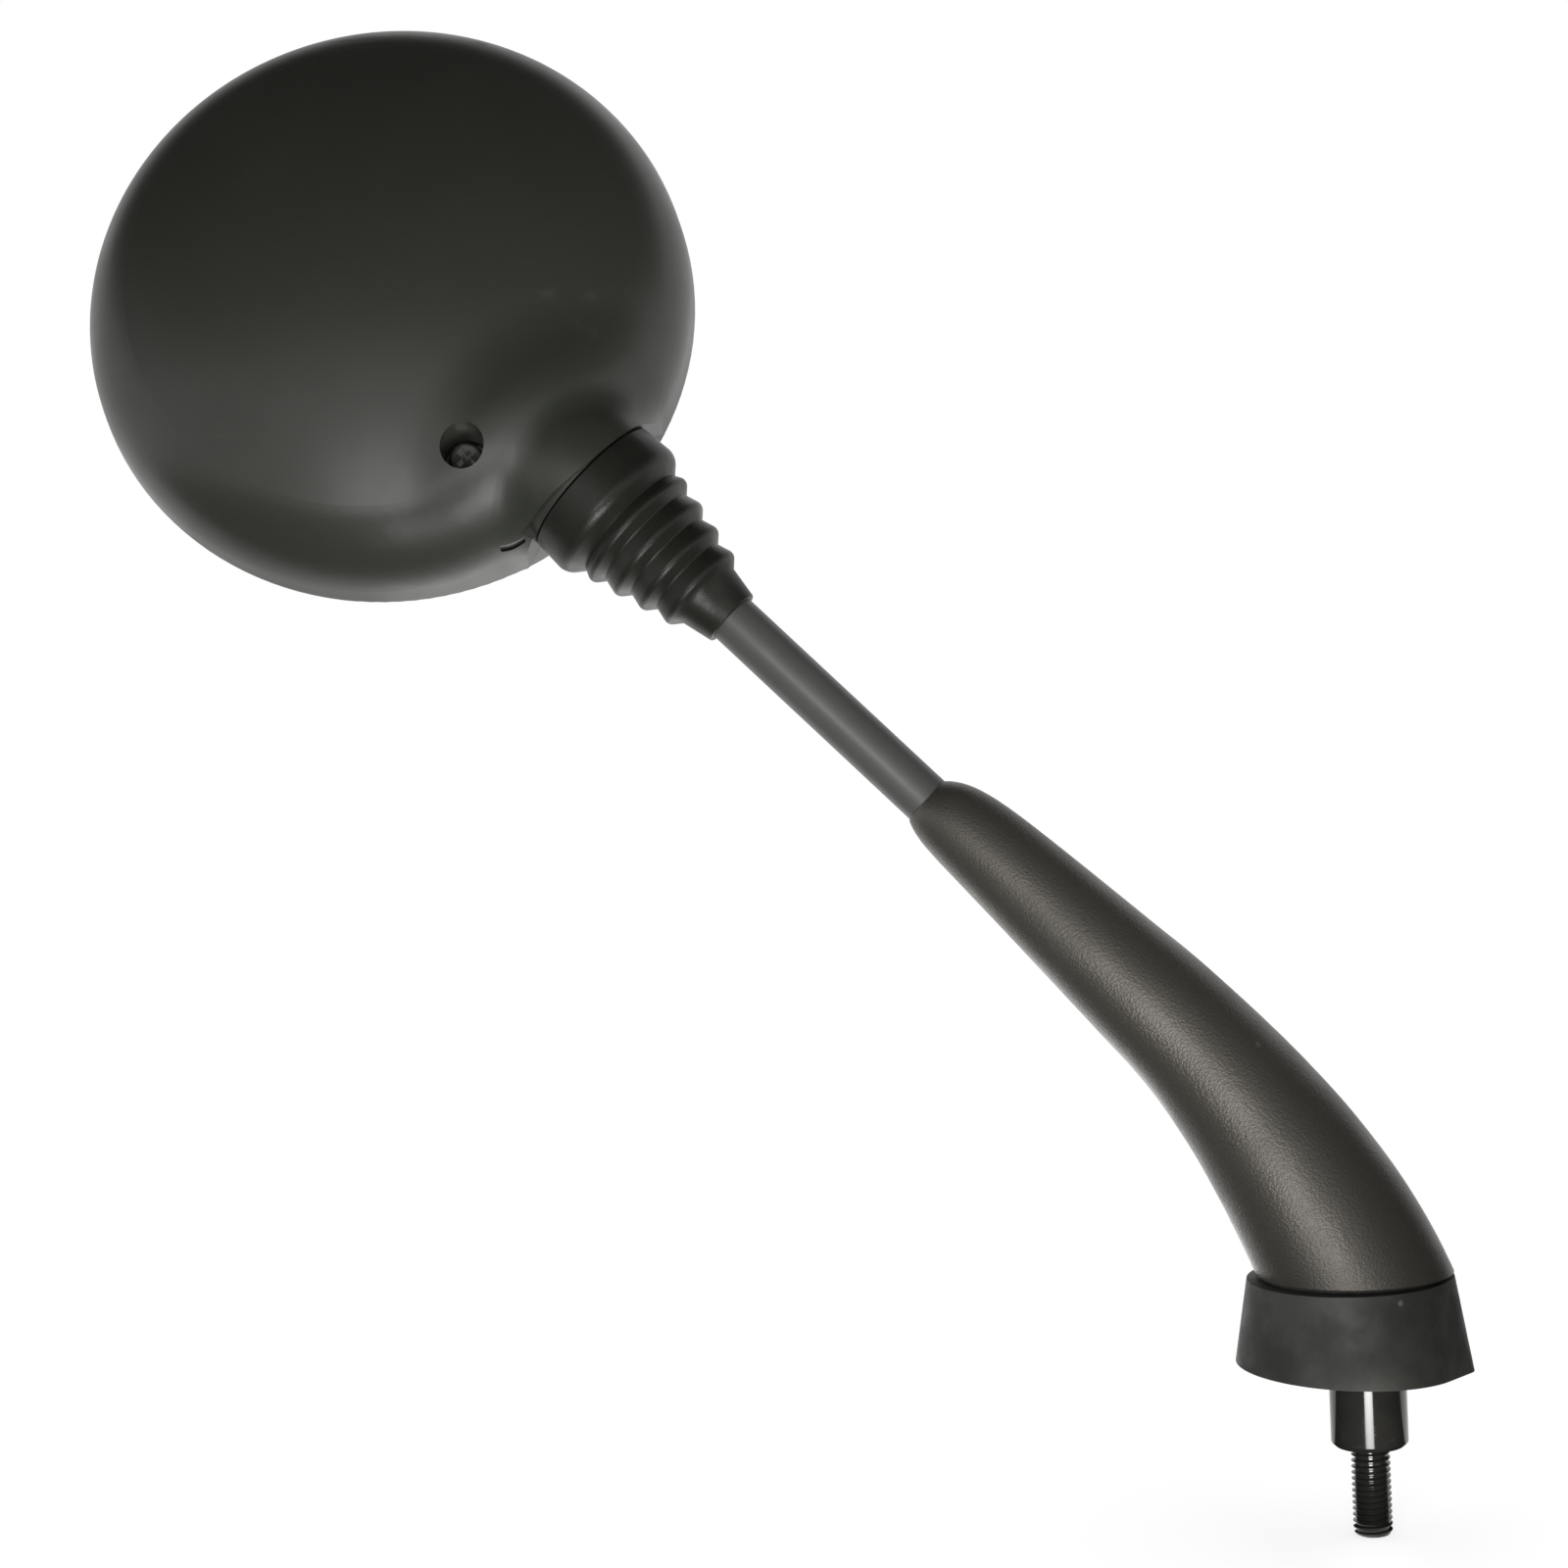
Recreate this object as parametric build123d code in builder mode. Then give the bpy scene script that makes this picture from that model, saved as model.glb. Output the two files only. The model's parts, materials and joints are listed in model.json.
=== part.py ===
from build123d import *
import os
from math import asin, atan2, cos, degrees, exp, radians, sin, sqrt, tan

# Round-headed motorcycle mirror on a bent steel stem.
# Frame: origin on the stud axis at the lower face of the collar, +Z up along the stud.
# The stem lies in the XZ plane and leans to -X. The back of the head looks to -Y.

# Stud and collar
THREAD_D = 8.0
THREAD_LENGTH = 18.6
THREAD_CHAMFER = 1.0
COLLAR_D = 15.8
COLLAR_HEIGHT = 20.0
COLLAR_CHAMFER = 0.9
HEX_FLATS = 19.0
HEX_HEIGHT = 7.0
SHANK_D = 15.0
SHANK_HEIGHT = 6.5
SOCKET_DEPTH = 19.5
ROD_CLEARANCE = 0.05

# Stem rod
ROD_D = 10.8
ROD_LEAN = 45.0
CORNER_HEIGHT = 49.6
BEND_R = 34.0
BALL_REACH = 230.4

# Pivot ball, its neck and its liner
BALL_D = 16.0
NECK_D = 9.2
NECK_LENGTH = 14.0
SPIGOT_D = 6.0
SPIGOT_LENGTH = 11.0
SPIGOT_END_GAP = 0.5
LINER_WALL = 1.5
LINER_BACK_ANGLE = 125.0
LINER_SLIT = 1.0
BALL_CLEARANCE = 0.05
SOCKET_CLEARANCE = 0.1
TILT_EACH_WAY = 15.0
TILT_MARGIN = 3.0

# Arm sleeve; its swells are added to the rod's radius
NOSE_REACH = 121.4
NOSE_LIP = 0.3
NOSE_SWELL = 3.0
NOSE_EASE = 4.2
SLEEVE_STRAIGHT = 62.0
SLEEVE_TAPER = 0.068
SLEEVE_OFFSET = 1.6
FOOT_SWELL = 13.1
FOOT_EVENNESS = 0.4
FOOT_OVERRUN = 16.0
SLEEVE_FOOT_X = -2.0
SLEEVE_WALL = 2.6
NOSE_SECTIONS = 12
NOSE_CROWDING = 1.6
BEND_SECTIONS = 8

# Base rubber
BASE_TOP = 35.0
SEAM_HEIGHT = 0.9
SEAM_DEPTH = 1.6
BASE_BOTTOM = 16.6
BASE_SLANT = 3.0
BASE_WALL = 3.5
BASE_TOP_R = 20.8
BASE_TOP_X = -3.0
BASE_TOP_TIP_R = 14.5
BASE_TOP_TIP_X = 3.8
BASE_FOOT_R = 23.0
BASE_FOOT_X = -3.7
BASE_TIP_R = 5.0
BASE_TIP_X = 16.6

# Head bowl
HEAD_D = 133.4
HEAD_DEPTH = 35.5
HEAD_DRAFT = 5.0
DOME_R = 120.0
DOME_SHIFT = 5.0
SWELL_R = 45.0
SWELL_INSET = 5.5
SWELL_DROP = 2.0
SWELL_BLEND = 40.0
SHOULDER_R = 22.0
HEAD_WALL = 2.4
RIM_ROUND = 1.0
HEAD_LEAN = 18.5
HEAD_TURN = 11.3
BALL_INSET = 13.0
BALL_ASIDE = 2.0
BALL_DEPTH = 16.5

# Hood and mouth of the head, measured along the stem from the ball centre
MOUTH_REACH = 11.0
MOUTH_WALL = 2.4
MOUTH_R = 11.7
HOOD_R = 17.2
HOOD_NOSE = 26.0
HOOD_BLEND = 12.0
OVERRUN = 14.0
LIP_STEP = 0.9
LIP_TILT = 8.0
LIP_START = 3.0
SLIT_LENGTH = 5.6
SLIT_WIDTH = 0.6
SLIT_FORWARD = 8.1
SLIT_ASIDE = 20.6
SLIT_TURN = 53.0

# Clamp round the ball; the places are measured from the ball centre
JAW_R = 13.2
JAW_GAP = 0.8
PLATE_THICKNESS = 4.6
CUP_R = 12.4
CUP_FLOOR = 1.2
CUP_CLEARANCE = 0.6
CLAMP_BACK = 10.3
CLAMP_ASIDE = 15.0
CLAMP_BOSS_R = 6.6
RECESS_D = 9.4
RECESS_SEAT = 1.8
SCREW_D = 5.0
SCREW_CLEARANCE = 0.3
SCREW_HEAD_D = 7.8
SCREW_HEAD_HEIGHT = 3.0
SCREW_HEAD_ROUND = 1.2
SCREW_TAIL = 1.4
CROSS_WIDTH = 1.3
CROSS_LENGTH = 4.6
CROSS_DEPTH = 1.8
WASHER_WALL = 1.6
WASHER_HEIGHT = 1.2
WASHER_SLIT = 0.8
NUT_FLATS = 8.0
NUT_HEIGHT = 4.0
NUT_SUNK = 2.0
NUT_CLEARANCE = 0.1
TAPPER_PLACES = ((-10.3, 15.0), (-1.0, 17.4))
TAPPER_BOSS_R = 4.4
TAPPER_D = 3.5
TAPPER_HEAD_D = 6.8
TAPPER_HEAD_HEIGHT = 2.3
TAPPER_LENGTH = 9.6
TAPPER_END_GAP = 0.6

# Mirror glass and its backing
RIM_WIDTH = 5.3
GLASS_THICKNESS = 2.0
GLASS_CURVE = 1200.0
GLASS_PROUD = 1.0
PAD_MARGIN = 4.4
PAD_THICKNESS = 0.8
PAD_CLEARANCE = 0.05
CARRIER_LIP = 0.6
CARRIER_THICKNESS = 3.0
CARRIER_CLEARANCE = 0.3
CARRIER_RIB_R = 30.0
CARRIER_RIB_WALL = 1.8
CARRIER_RIB_HEIGHT = 4.0
NOTCH_CLEARANCE = 0.6
LEDGE_WIDTH = 2.6
LEDGE_HEIGHT = 2.0
LEDGE_BITE = 1.2

# Bellows boot, measured along the stem from its flange face
BOOT_WALL = 1.2
BOOT_GAP = 0.3
BOOT_LIP_R = 12.3
BOOT_LIP_WIDTH = 0.9
BOOT_NECK_R = 11.4
BOOT_THROAT_R = 9.6
FLANGE_R = 17.1
FLANGE_LENGTH = 8.4
FLANGE_ROUND = 1.6
FLANGE_TAPER = 0.5
RING_COUNT = 4
RING_PITCH = 6.05
RING_FIRST = 15.3
RING_FIRST_R = 14.8
RING_LAST_R = 10.3
RING_RISE = 3.9
RING_FALL = 2.2
VALLEY_DEPTH = 2.5
FIRST_VALLEY_DEPTH = 1.2
RING_ROUND = 0.9
CUFF_LENGTH = 7.1
CUFF_WALL = 1.0
CUFF_CLEARANCE = 0.05

# Axes and planes of the stem; stem_in points from the head towards the base
lean = radians(ROD_LEAN)
stem_out = Vector(-sin(lean), 0, cos(lean))
stem_in = stem_out * -1
stem_side = Vector(cos(lean), 0, sin(lean))
corner = Vector(0, 0, CORNER_HEIGHT)
ball_centre = corner + stem_out * BALL_REACH
STEM_AXIS = Axis(ball_centre, stem_in)
STEM_SIDE = Plane(origin=ball_centre, x_dir=stem_in, z_dir=stem_side)
STEM_END = Plane(origin=ball_centre, x_dir=(0, 1, 0), z_dir=stem_in)

# Axes and planes of the head; back points out of the head's back, heights start at the rim
tip_back = radians(HEAD_LEAN)
turn = radians(HEAD_TURN)
back = Vector(sin(turn) * cos(tip_back), -cos(turn) * cos(tip_back), sin(tip_back))
to_mouth = (stem_in - back * stem_in.dot(back)).normalized()
across = back.cross(to_mouth)
ball_from_centre = HEAD_D / 2 - BALL_INSET
head_centre = ball_centre - to_mouth * ball_from_centre + across * BALL_ASIDE - back * BALL_DEPTH
HEAD = Plane(origin=head_centre, x_dir=to_mouth, z_dir=back)
HEAD_SIDE = Plane(origin=head_centre, x_dir=to_mouth, z_dir=across * -1)
HEAD_AXIS = Axis(head_centre, back)
dome_centre = head_centre + to_mouth * DOME_SHIFT + back * (HEAD_DEPTH - DOME_R)
swell_height = HEAD_DEPTH - SWELL_DROP - SWELL_R
swell_centre = ball_centre - to_mouth * SWELL_INSET + back * (swell_height - BALL_DEPTH)
DOME = Plane(origin=dome_centre, x_dir=back * -1, z_dir=across)
SWELL = Plane(origin=swell_centre, x_dir=back * -1, z_dir=across)
ball_place = (ball_from_centre, -BALL_ASIDE)
clamp_place = (ball_from_centre - CLAMP_BACK, -BALL_ASIDE - CLAMP_ASIDE)
tapper_places = [(ball_from_centre + along, aside - BALL_ASIDE) for along, aside in TAPPER_PLACES]

# Radii and heights that several pieces share
rod_r = ROD_D / 2
rod_bore_r = rod_r + ROD_CLEARANCE
ball_r = BALL_D / 2
liner_in_r = ball_r + BALL_CLEARANCE
liner_out_r = liner_in_r + LINER_WALL
socket_r = liner_out_r + SOCKET_CLEARANCE
hex_top = COLLAR_HEIGHT + HEX_HEIGHT
shank_top = hex_top + SHANK_HEIGHT
socket_floor = shank_top - SOCKET_DEPTH
sleeve_bottom = BASE_TOP + SEAM_HEIGHT
jaw_face = BALL_DEPTH + JAW_GAP / 2
plate_face = BALL_DEPTH - JAW_GAP / 2
plate_back = plate_face - PLATE_THICKNESS
recess_floor = jaw_face + RECESS_SEAT
screw_seat = recess_floor + WASHER_HEIGHT
nut_top = plate_back + NUT_SUNK
nut_bottom = nut_top - NUT_HEIGHT
screw_hole_r = SCREW_D / 2 + SCREW_CLEARANCE
glass_r = HEAD_D / 2 - RIM_WIDTH
pad_r = glass_r - PAD_MARGIN
carrier_r = glass_r + CARRIER_LIP
glass_back = GLASS_THICKNESS - GLASS_PROUD
carrier_front = glass_back + PAD_THICKNESS + 2 * PAD_CLEARANCE
carrier_back = carrier_front + CARRIER_THICKNESS
recess_r = carrier_r + CARRIER_CLEARANCE
wall_inner_r = HEAD_D / 2 - HEAD_WALL
ledge_r = carrier_r - LEDGE_WIDTH
ledge_top = carrier_back + LEDGE_HEIGHT
boot_face = MOUTH_REACH + BOOT_GAP
mouth_inside = MOUTH_REACH - MOUTH_WALL
seat_end = MOUTH_REACH + OVERRUN
lip_end = mouth_inside - BOOT_GAP
lip_start = lip_end - BOOT_LIP_WIDTH
lip_room_r = BOOT_LIP_R + BOOT_GAP
jaw_end = lip_start - BOOT_GAP

# Half angles of the openings that the neck swings in
neck_angle = degrees(asin(NECK_D / BALL_D))
both_tilts = degrees(atan2(sqrt(2) * tan(radians(TILT_EACH_WAY)), 1))
liner_mouth = neck_angle + TILT_EACH_WAY + TILT_MARGIN
jaw_mouth = neck_angle + both_tilts + TILT_MARGIN


def polygon_section(plane, points):
    """Closed straight-sided section on a plane."""
    with BuildSketch(plane) as section:
        with BuildLine():
            Polyline(*points, close=True)
        make_face()
    return section.sketch


def bowl_form(inset):
    """Bowl of the head, its dome swelling towards the mouth, shrunk by the inset and run on past the rim."""
    draft = tan(radians(HEAD_DRAFT))
    rim_r = HEAD_D / 2 - inset
    skirt_r = rim_r + OVERRUN * draft
    drum_top = HEAD_DEPTH + OVERRUN
    top_r = rim_r - drum_top * draft
    drum = [(0, -OVERRUN), (skirt_r, -OVERRUN), (top_r, drum_top), (0, drum_top)]
    with BuildPart() as bowl:
        with Locations(DOME):
            Sphere(DOME_R - inset)
        with Locations(SWELL):
            Sphere(SWELL_R - inset)
        fillet(bowl.edges(Select.NEW), SWELL_BLEND + inset)
        revolve(polygon_section(HEAD_SIDE, drum), axis=HEAD_AXIS, mode=Mode.INTERSECT)
        fillet(bowl.edges(Select.NEW), SHOULDER_R - inset)
    return bowl.part


def rim_corner_section():
    """Half section of what the round of the rim's outer edge takes away."""
    wall_r = HEAD_D / 2 - RIM_ROUND * tan(radians(HEAD_DRAFT))
    face_r = wall_r - RIM_ROUND
    outside_r = wall_r + RIM_ROUND
    with BuildSketch(HEAD_SIDE) as section:
        with BuildLine():
            Polyline((face_r, 0), (outside_r, 0), (outside_r, RIM_ROUND), (wall_r, RIM_ROUND))
            RadiusArc((wall_r, RIM_ROUND), (face_r, 0), RIM_ROUND)
        make_face()
    return section.sketch


def hood_section(inset):
    """Half section of the hood round the stem, with an elliptic nose, shrunk by the inset."""
    hood_r = HOOD_R - inset
    nose = HOOD_NOSE - inset
    tip = MOUTH_REACH - nose
    with BuildSketch(STEM_SIDE) as section:
        with BuildLine():
            EllipticalCenterArc((MOUTH_REACH, 0), nose, hood_r, start_angle=90, arc_size=90)
            Polyline((MOUTH_REACH, hood_r), (seat_end, hood_r), (seat_end, 0), (tip, 0))
        make_face()
    return section.sketch


def passage_section():
    """Half section of the way through the jaws for the ball, the neck and the boot's lip."""
    throat_r = jaw_end * tan(radians(jaw_mouth))
    past_mouth = MOUTH_REACH + MOUTH_WALL
    points = [
        (0, 0),
        (jaw_end, throat_r),
        (jaw_end, lip_room_r),
        (mouth_inside, lip_room_r),
        (mouth_inside, MOUTH_R),
        (past_mouth, MOUTH_R),
        (past_mouth, 0),
    ]
    return polygon_section(STEM_SIDE, points)


def ring_section(inner_r, outer_r, low, high):
    """Half section of a flat ring round the head's axis between two heights."""
    points = [(inner_r, low), (outer_r, low), (outer_r, high), (inner_r, high)]
    return polygon_section(HEAD_SIDE, points)


def lens_section(radius, front, thickness):
    """Half section of a convex disc with the mirror's curve; front is the height of its front's middle."""
    edge = GLASS_CURVE - sqrt(GLASS_CURVE**2 - radius**2)
    with BuildSketch(HEAD_SIDE) as section:
        with BuildLine():
            Line((0, front + thickness), (0, front))
            TangentArc((0, front), (radius, front + edge), tangent=(1, 0))
            Line((radius, front + edge), (radius, front + edge + thickness))
            TangentArc((0, front + thickness), (radius, front + edge + thickness), tangent=(1, 0))
        make_face()
    return section.sketch


def egg_plan(plane, big_r, big_x, tip_r, tip_x, inset):
    """Egg-shaped plan of the base rubber on a plane, shrunk all round by the inset."""
    with BuildSketch(plane) as plan:
        with Locations((big_x, 0)):
            Circle(big_r - inset)
        with Locations((tip_x, 0)):
            Circle(tip_r - inset)
        make_hull()
    return plan.sketch


# Mount stud: thread, collar, hexagon and shank in one turned piece, drilled for the rod
with BuildPart() as mount_stud:
    thread_r = THREAD_D / 2
    collar_r = COLLAR_D / 2
    turned = [
        (0, -THREAD_LENGTH),
        (thread_r - THREAD_CHAMFER, -THREAD_LENGTH),
        (thread_r, THREAD_CHAMFER - THREAD_LENGTH),
        (thread_r, 0),
        (collar_r - COLLAR_CHAMFER, 0),
        (collar_r, COLLAR_CHAMFER),
        (collar_r, COLLAR_HEIGHT),
        (SHANK_D / 2, COLLAR_HEIGHT),
        (SHANK_D / 2, shank_top),
        (0, shank_top),
    ]
    revolve(polygon_section(Plane.XZ, turned), axis=Axis.Z)
    with BuildSketch(Plane.XY.offset(COLLAR_HEIGHT)):
        RegularPolygon(HEX_FLATS / 2, 6, major_radius=False)
    extrude(amount=HEX_HEIGHT)
    with BuildSketch(Plane.XY.offset(socket_floor)):
        Circle(rod_bore_r)
    extrude(amount=SOCKET_DEPTH, mode=Mode.SUBTRACT)
mount_stud.part.label = "mount_stud"

# Stem rod: bent round bar with a turned spigot for the ball
rod_end = ball_centre + stem_in * NECK_LENGTH
with BuildPart() as stem_rod:
    with BuildLine() as rod_path:
        FilletPolyline((0, 0, socket_floor), corner, rod_end, radius=BEND_R)
    with BuildSketch(Plane.XY.offset(socket_floor)):
        Circle(rod_r)
    sweep(path=rod_path.wire())
    with BuildSketch(STEM_END.offset(NECK_LENGTH)):
        Circle(SPIGOT_D / 2)
    extrude(amount=-SPIGOT_LENGTH)
stem_rod.part.label = "stem_rod"

# Pivot ball: ball and neck in one piece, bored for the rod's spigot
with BuildPart() as pivot_ball:
    with BuildSketch(STEM_SIDE) as ball_section:
        with BuildLine():
            neck_start = sqrt(ball_r**2 - (NECK_D / 2) ** 2)
            Line((NECK_LENGTH, 0), (-ball_r, 0))
            ThreePointArc((-ball_r, 0), (0, ball_r), (neck_start, NECK_D / 2))
            Line((neck_start, NECK_D / 2), (NECK_LENGTH, NECK_D / 2))
            Line((NECK_LENGTH, NECK_D / 2), (NECK_LENGTH, 0))
        make_face()
    revolve(axis=STEM_AXIS)
    with BuildSketch(STEM_END.offset(NECK_LENGTH)):
        Circle(SPIGOT_D / 2 + ROD_CLEARANCE)
    extrude(amount=-SPIGOT_LENGTH - SPIGOT_END_GAP, mode=Mode.SUBTRACT)
pivot_ball.part.label = "pivot_ball"

# Middle line of the arm sleeve: a straight run along the rod and a bend down to the foot
nose = corner + stem_out * NOSE_REACH
bend_start = nose + stem_in * SLEEVE_STRAIGHT + stem_side * SLEEVE_OFFSET
sleeve_foot = Vector(SLEEVE_FOOT_X, 0, sleeve_bottom)
sleeve_bend = TangentArc(bend_start, sleeve_foot, tangent=stem_in)
foot_way = sleeve_bend % 1
foot_r = rod_r + FOOT_SWELL
elbow_swell = NOSE_SWELL + SLEEVE_TAPER * SLEEVE_STRAIGHT


def sleeve_section(centre, way, swell):
    """Plane square to the sleeve's middle line, with the radius of the sleeve there."""
    return Plane(origin=centre, x_dir=(0, 1, 0), z_dir=way), rod_r + swell


def straight_section(run):
    """Section of the sleeve's straight run at a distance from the nose, eased out of the rod."""
    swell = NOSE_SWELL + SLEEVE_TAPER * run - (NOSE_SWELL - NOSE_LIP) * exp(-run / NOSE_EASE)
    aside = SLEEVE_OFFSET * (1 - exp(-run / (2 * NOSE_EASE)))
    return sleeve_section(nose + stem_in * run + stem_side * aside, stem_in, swell)


def bend_section(share):
    """Section of the sleeve's bend at a share of its length, swelling to the foot."""
    eased = share**2 * (3 - 2 * share)
    grown = FOOT_EVENNESS * share + (1 - FOOT_EVENNESS) * eased
    swell = elbow_swell + (FOOT_SWELL - elbow_swell) * grown
    return sleeve_section(sleeve_bend @ share, sleeve_bend % share, swell)


# Arm sleeve: round sections, closer together at the nose, hollow from the foot to the bend's start
nose_runs = [SLEEVE_STRAIGHT * (step / NOSE_SECTIONS) ** NOSE_CROWDING for step in range(NOSE_SECTIONS)]
straight_sections = [straight_section(run) for run in nose_runs]
bend_sections = [bend_section(step / BEND_SECTIONS) for step in range(BEND_SECTIONS + 1)]
for share in (0.5, 1):
    bend_sections.append(sleeve_section(sleeve_foot + foot_way * FOOT_OVERRUN * share, foot_way, FOOT_SWELL))

with BuildPart() as arm_sleeve:
    for plane, radius in straight_sections + bend_sections:
        with BuildSketch(plane):
            Circle(radius)
    loft()
    for plane, radius in bend_sections:
        with BuildSketch(plane):
            Circle(radius - SLEEVE_WALL)
    loft(mode=Mode.SUBTRACT)
    with BuildSketch(STEM_END.offset(BALL_REACH - NOSE_REACH - SLEEVE_WALL)):
        Circle(rod_bore_r)
    extrude(amount=SLEEVE_STRAIGHT + 2 * SLEEVE_WALL, mode=Mode.SUBTRACT)
    split(bisect_by=Plane.XY.offset(sleeve_bottom), keep=Keep.TOP)
arm_sleeve.part.label = "arm_sleeve"

# Base rubber: egg-shaped skirt on a slanted foot, with a low spigot under the sleeve and a hole for the shank
base_foot = Plane(origin=(0, 0, BASE_BOTTOM), x_dir=Vector(1, 0, 0).rotate(Axis.Y, BASE_SLANT),
                  z_dir=Vector(0, 0, 1).rotate(Axis.Y, BASE_SLANT))
foot_lean = radians(foot_way.get_angle(Vector(0, 0, -1)))
with BuildPart() as base_rubber:
    add(egg_plan(Plane.XY.offset(BASE_TOP), BASE_TOP_R, BASE_TOP_X, BASE_TOP_TIP_R, BASE_TOP_TIP_X, 0))
    add(egg_plan(base_foot, BASE_FOOT_R, BASE_FOOT_X, BASE_TIP_R, BASE_TIP_X, 0))
    loft()
    add(egg_plan(Plane.XY.offset(hex_top), BASE_TOP_R, BASE_TOP_X, BASE_TOP_TIP_R, BASE_TOP_TIP_X, BASE_WALL))
    add(egg_plan(base_foot, BASE_FOOT_R, BASE_FOOT_X, BASE_TIP_R, BASE_TIP_X, BASE_WALL))
    loft(mode=Mode.SUBTRACT)
    with BuildSketch(Plane.XY.offset(BASE_TOP)):
        with Locations((SLEEVE_FOOT_X, 0)):
            Ellipse(foot_r / cos(foot_lean) - SEAM_DEPTH, foot_r - SEAM_DEPTH)
    extrude(amount=SEAM_HEIGHT)
    with BuildSketch(Plane.XY.offset(hex_top)):
        Circle(SHANK_D / 2 + ROD_CLEARANCE)
    extrude(amount=sleeve_bottom - hex_top, mode=Mode.SUBTRACT)
base_rubber.part.label = "base_rubber"

# Outer form of the head: the bowl and the hood blended together, with a seat for the boot's flange
flange_seat_r = FLANGE_R + BOOT_GAP
flange_seat = [(MOUTH_REACH, 0), (MOUTH_REACH, flange_seat_r), (seat_end, flange_seat_r), (seat_end, 0)]
waste_r = HOOD_R + 2 * HOOD_BLEND
MOUTH = STEM_END.offset(MOUTH_REACH)
outer_bowl = bowl_form(0)
inner_bowl = bowl_form(HEAD_WALL)
with BuildPart() as bowl_past_mouth:
    add(outer_bowl)
    split(bisect_by=MOUTH, keep=Keep.TOP)
with BuildPart() as head_form:
    add(outer_bowl)
    revolve(hood_section(0), axis=STEM_AXIS)
    fillet(head_form.edges(Select.NEW), HOOD_BLEND)
    split(bisect_by=MOUTH, keep=Keep.BOTTOM)
    add(bowl_past_mouth.part)
    revolve(polygon_section(STEM_SIDE, flange_seat), axis=STEM_AXIS, mode=Mode.SUBTRACT)
    split(bisect_by=HEAD, keep=Keep.TOP)
    revolve(rim_corner_section(), axis=HEAD_AXIS, mode=Mode.SUBTRACT)

# Inside of the head: upper jaw of the ball socket, clamp screw boss, self-tapper bosses and mirror ledge
with BuildPart() as head_bosses:
    with BuildSketch(HEAD.offset(jaw_face)):
        with Locations(ball_place):
            Circle(JAW_R)
        with Locations(clamp_place):
            Circle(CLAMP_BOSS_R)
        make_hull()
    extrude(amount=HEAD_DEPTH)
    with BuildSketch(HEAD.offset(plate_face)):
        with Locations(*tapper_places):
            Circle(TAPPER_BOSS_R)
    extrude(amount=HEAD_DEPTH)
    revolve(ring_section(ledge_r, wall_inner_r + LEDGE_BITE, 0, ledge_top), axis=HEAD_AXIS)
    add(head_form.part, mode=Mode.INTERSECT)

# Hollow of the hood, closed by the mouth's wall
with BuildPart() as hood_hollow:
    revolve(hood_section(HEAD_WALL), axis=STEM_AXIS)
    split(bisect_by=STEM_END.offset(mouth_inside), keep=Keep.BOTTOM)

# Head housing: bowl with the mirror's ledge, hood, upper jaw, and a slit and a stepped lip by the mouth
slit_place = (ball_from_centre + SLIT_FORWARD, -BALL_ASIDE - SLIT_ASIDE)
lip_way = stem_in - across * tan(radians(LIP_TILT))
LIP = Plane(origin=ball_centre + stem_in * MOUTH_REACH, x_dir=back, z_dir=lip_way)
with BuildPart() as head_housing:
    add(head_form.part)
    add(inner_bowl, mode=Mode.SUBTRACT)
    add(hood_hollow.part, mode=Mode.SUBTRACT)
    add(head_bosses.part)
    revolve(ring_section(0, recess_r, 0, carrier_back), axis=HEAD_AXIS, mode=Mode.SUBTRACT)
    with BuildSketch(HEAD):
        with Locations(ball_place):
            Circle(CUP_R + CUP_CLEARANCE)
        Circle(wall_inner_r, mode=Mode.INTERSECT)
    extrude(amount=plate_face, mode=Mode.SUBTRACT)
    with Locations(ball_centre):
        Sphere(socket_r, mode=Mode.SUBTRACT)
    revolve(passage_section(), axis=STEM_AXIS, mode=Mode.SUBTRACT)
    with BuildSketch(HEAD.offset(recess_floor)):
        with Locations(clamp_place):
            Circle(RECESS_D / 2)
    extrude(amount=HEAD_DEPTH, mode=Mode.SUBTRACT)
    with BuildSketch(HEAD.offset(jaw_face)):
        with Locations(clamp_place):
            Circle(screw_hole_r)
    extrude(amount=RECESS_SEAT, mode=Mode.SUBTRACT)
    with BuildSketch(HEAD.offset(plate_face)):
        with Locations(*tapper_places):
            Circle(TAPPER_D / 2)
    extrude(amount=TAPPER_LENGTH - PLATE_THICKNESS + TAPPER_END_GAP, mode=Mode.SUBTRACT)
    with BuildSketch(HEAD.offset(ledge_top)):
        with Locations(slit_place):
            Rectangle(SLIT_LENGTH, SLIT_WIDTH, rotation=SLIT_TURN)
    extrude(amount=HEAD_DEPTH, mode=Mode.SUBTRACT)
    with BuildSketch(LIP):
        Circle(waste_r)
        Circle(HOOD_R - LIP_STEP, mode=Mode.SUBTRACT)
        with Locations((LIP_START, 0)):
            Rectangle(waste_r, 2 * waste_r, align=(Align.MIN, Align.CENTER), mode=Mode.INTERSECT)
    extrude(amount=HOOD_BLEND, mode=Mode.SUBTRACT)
head_housing.part.label = "head_housing"

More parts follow.
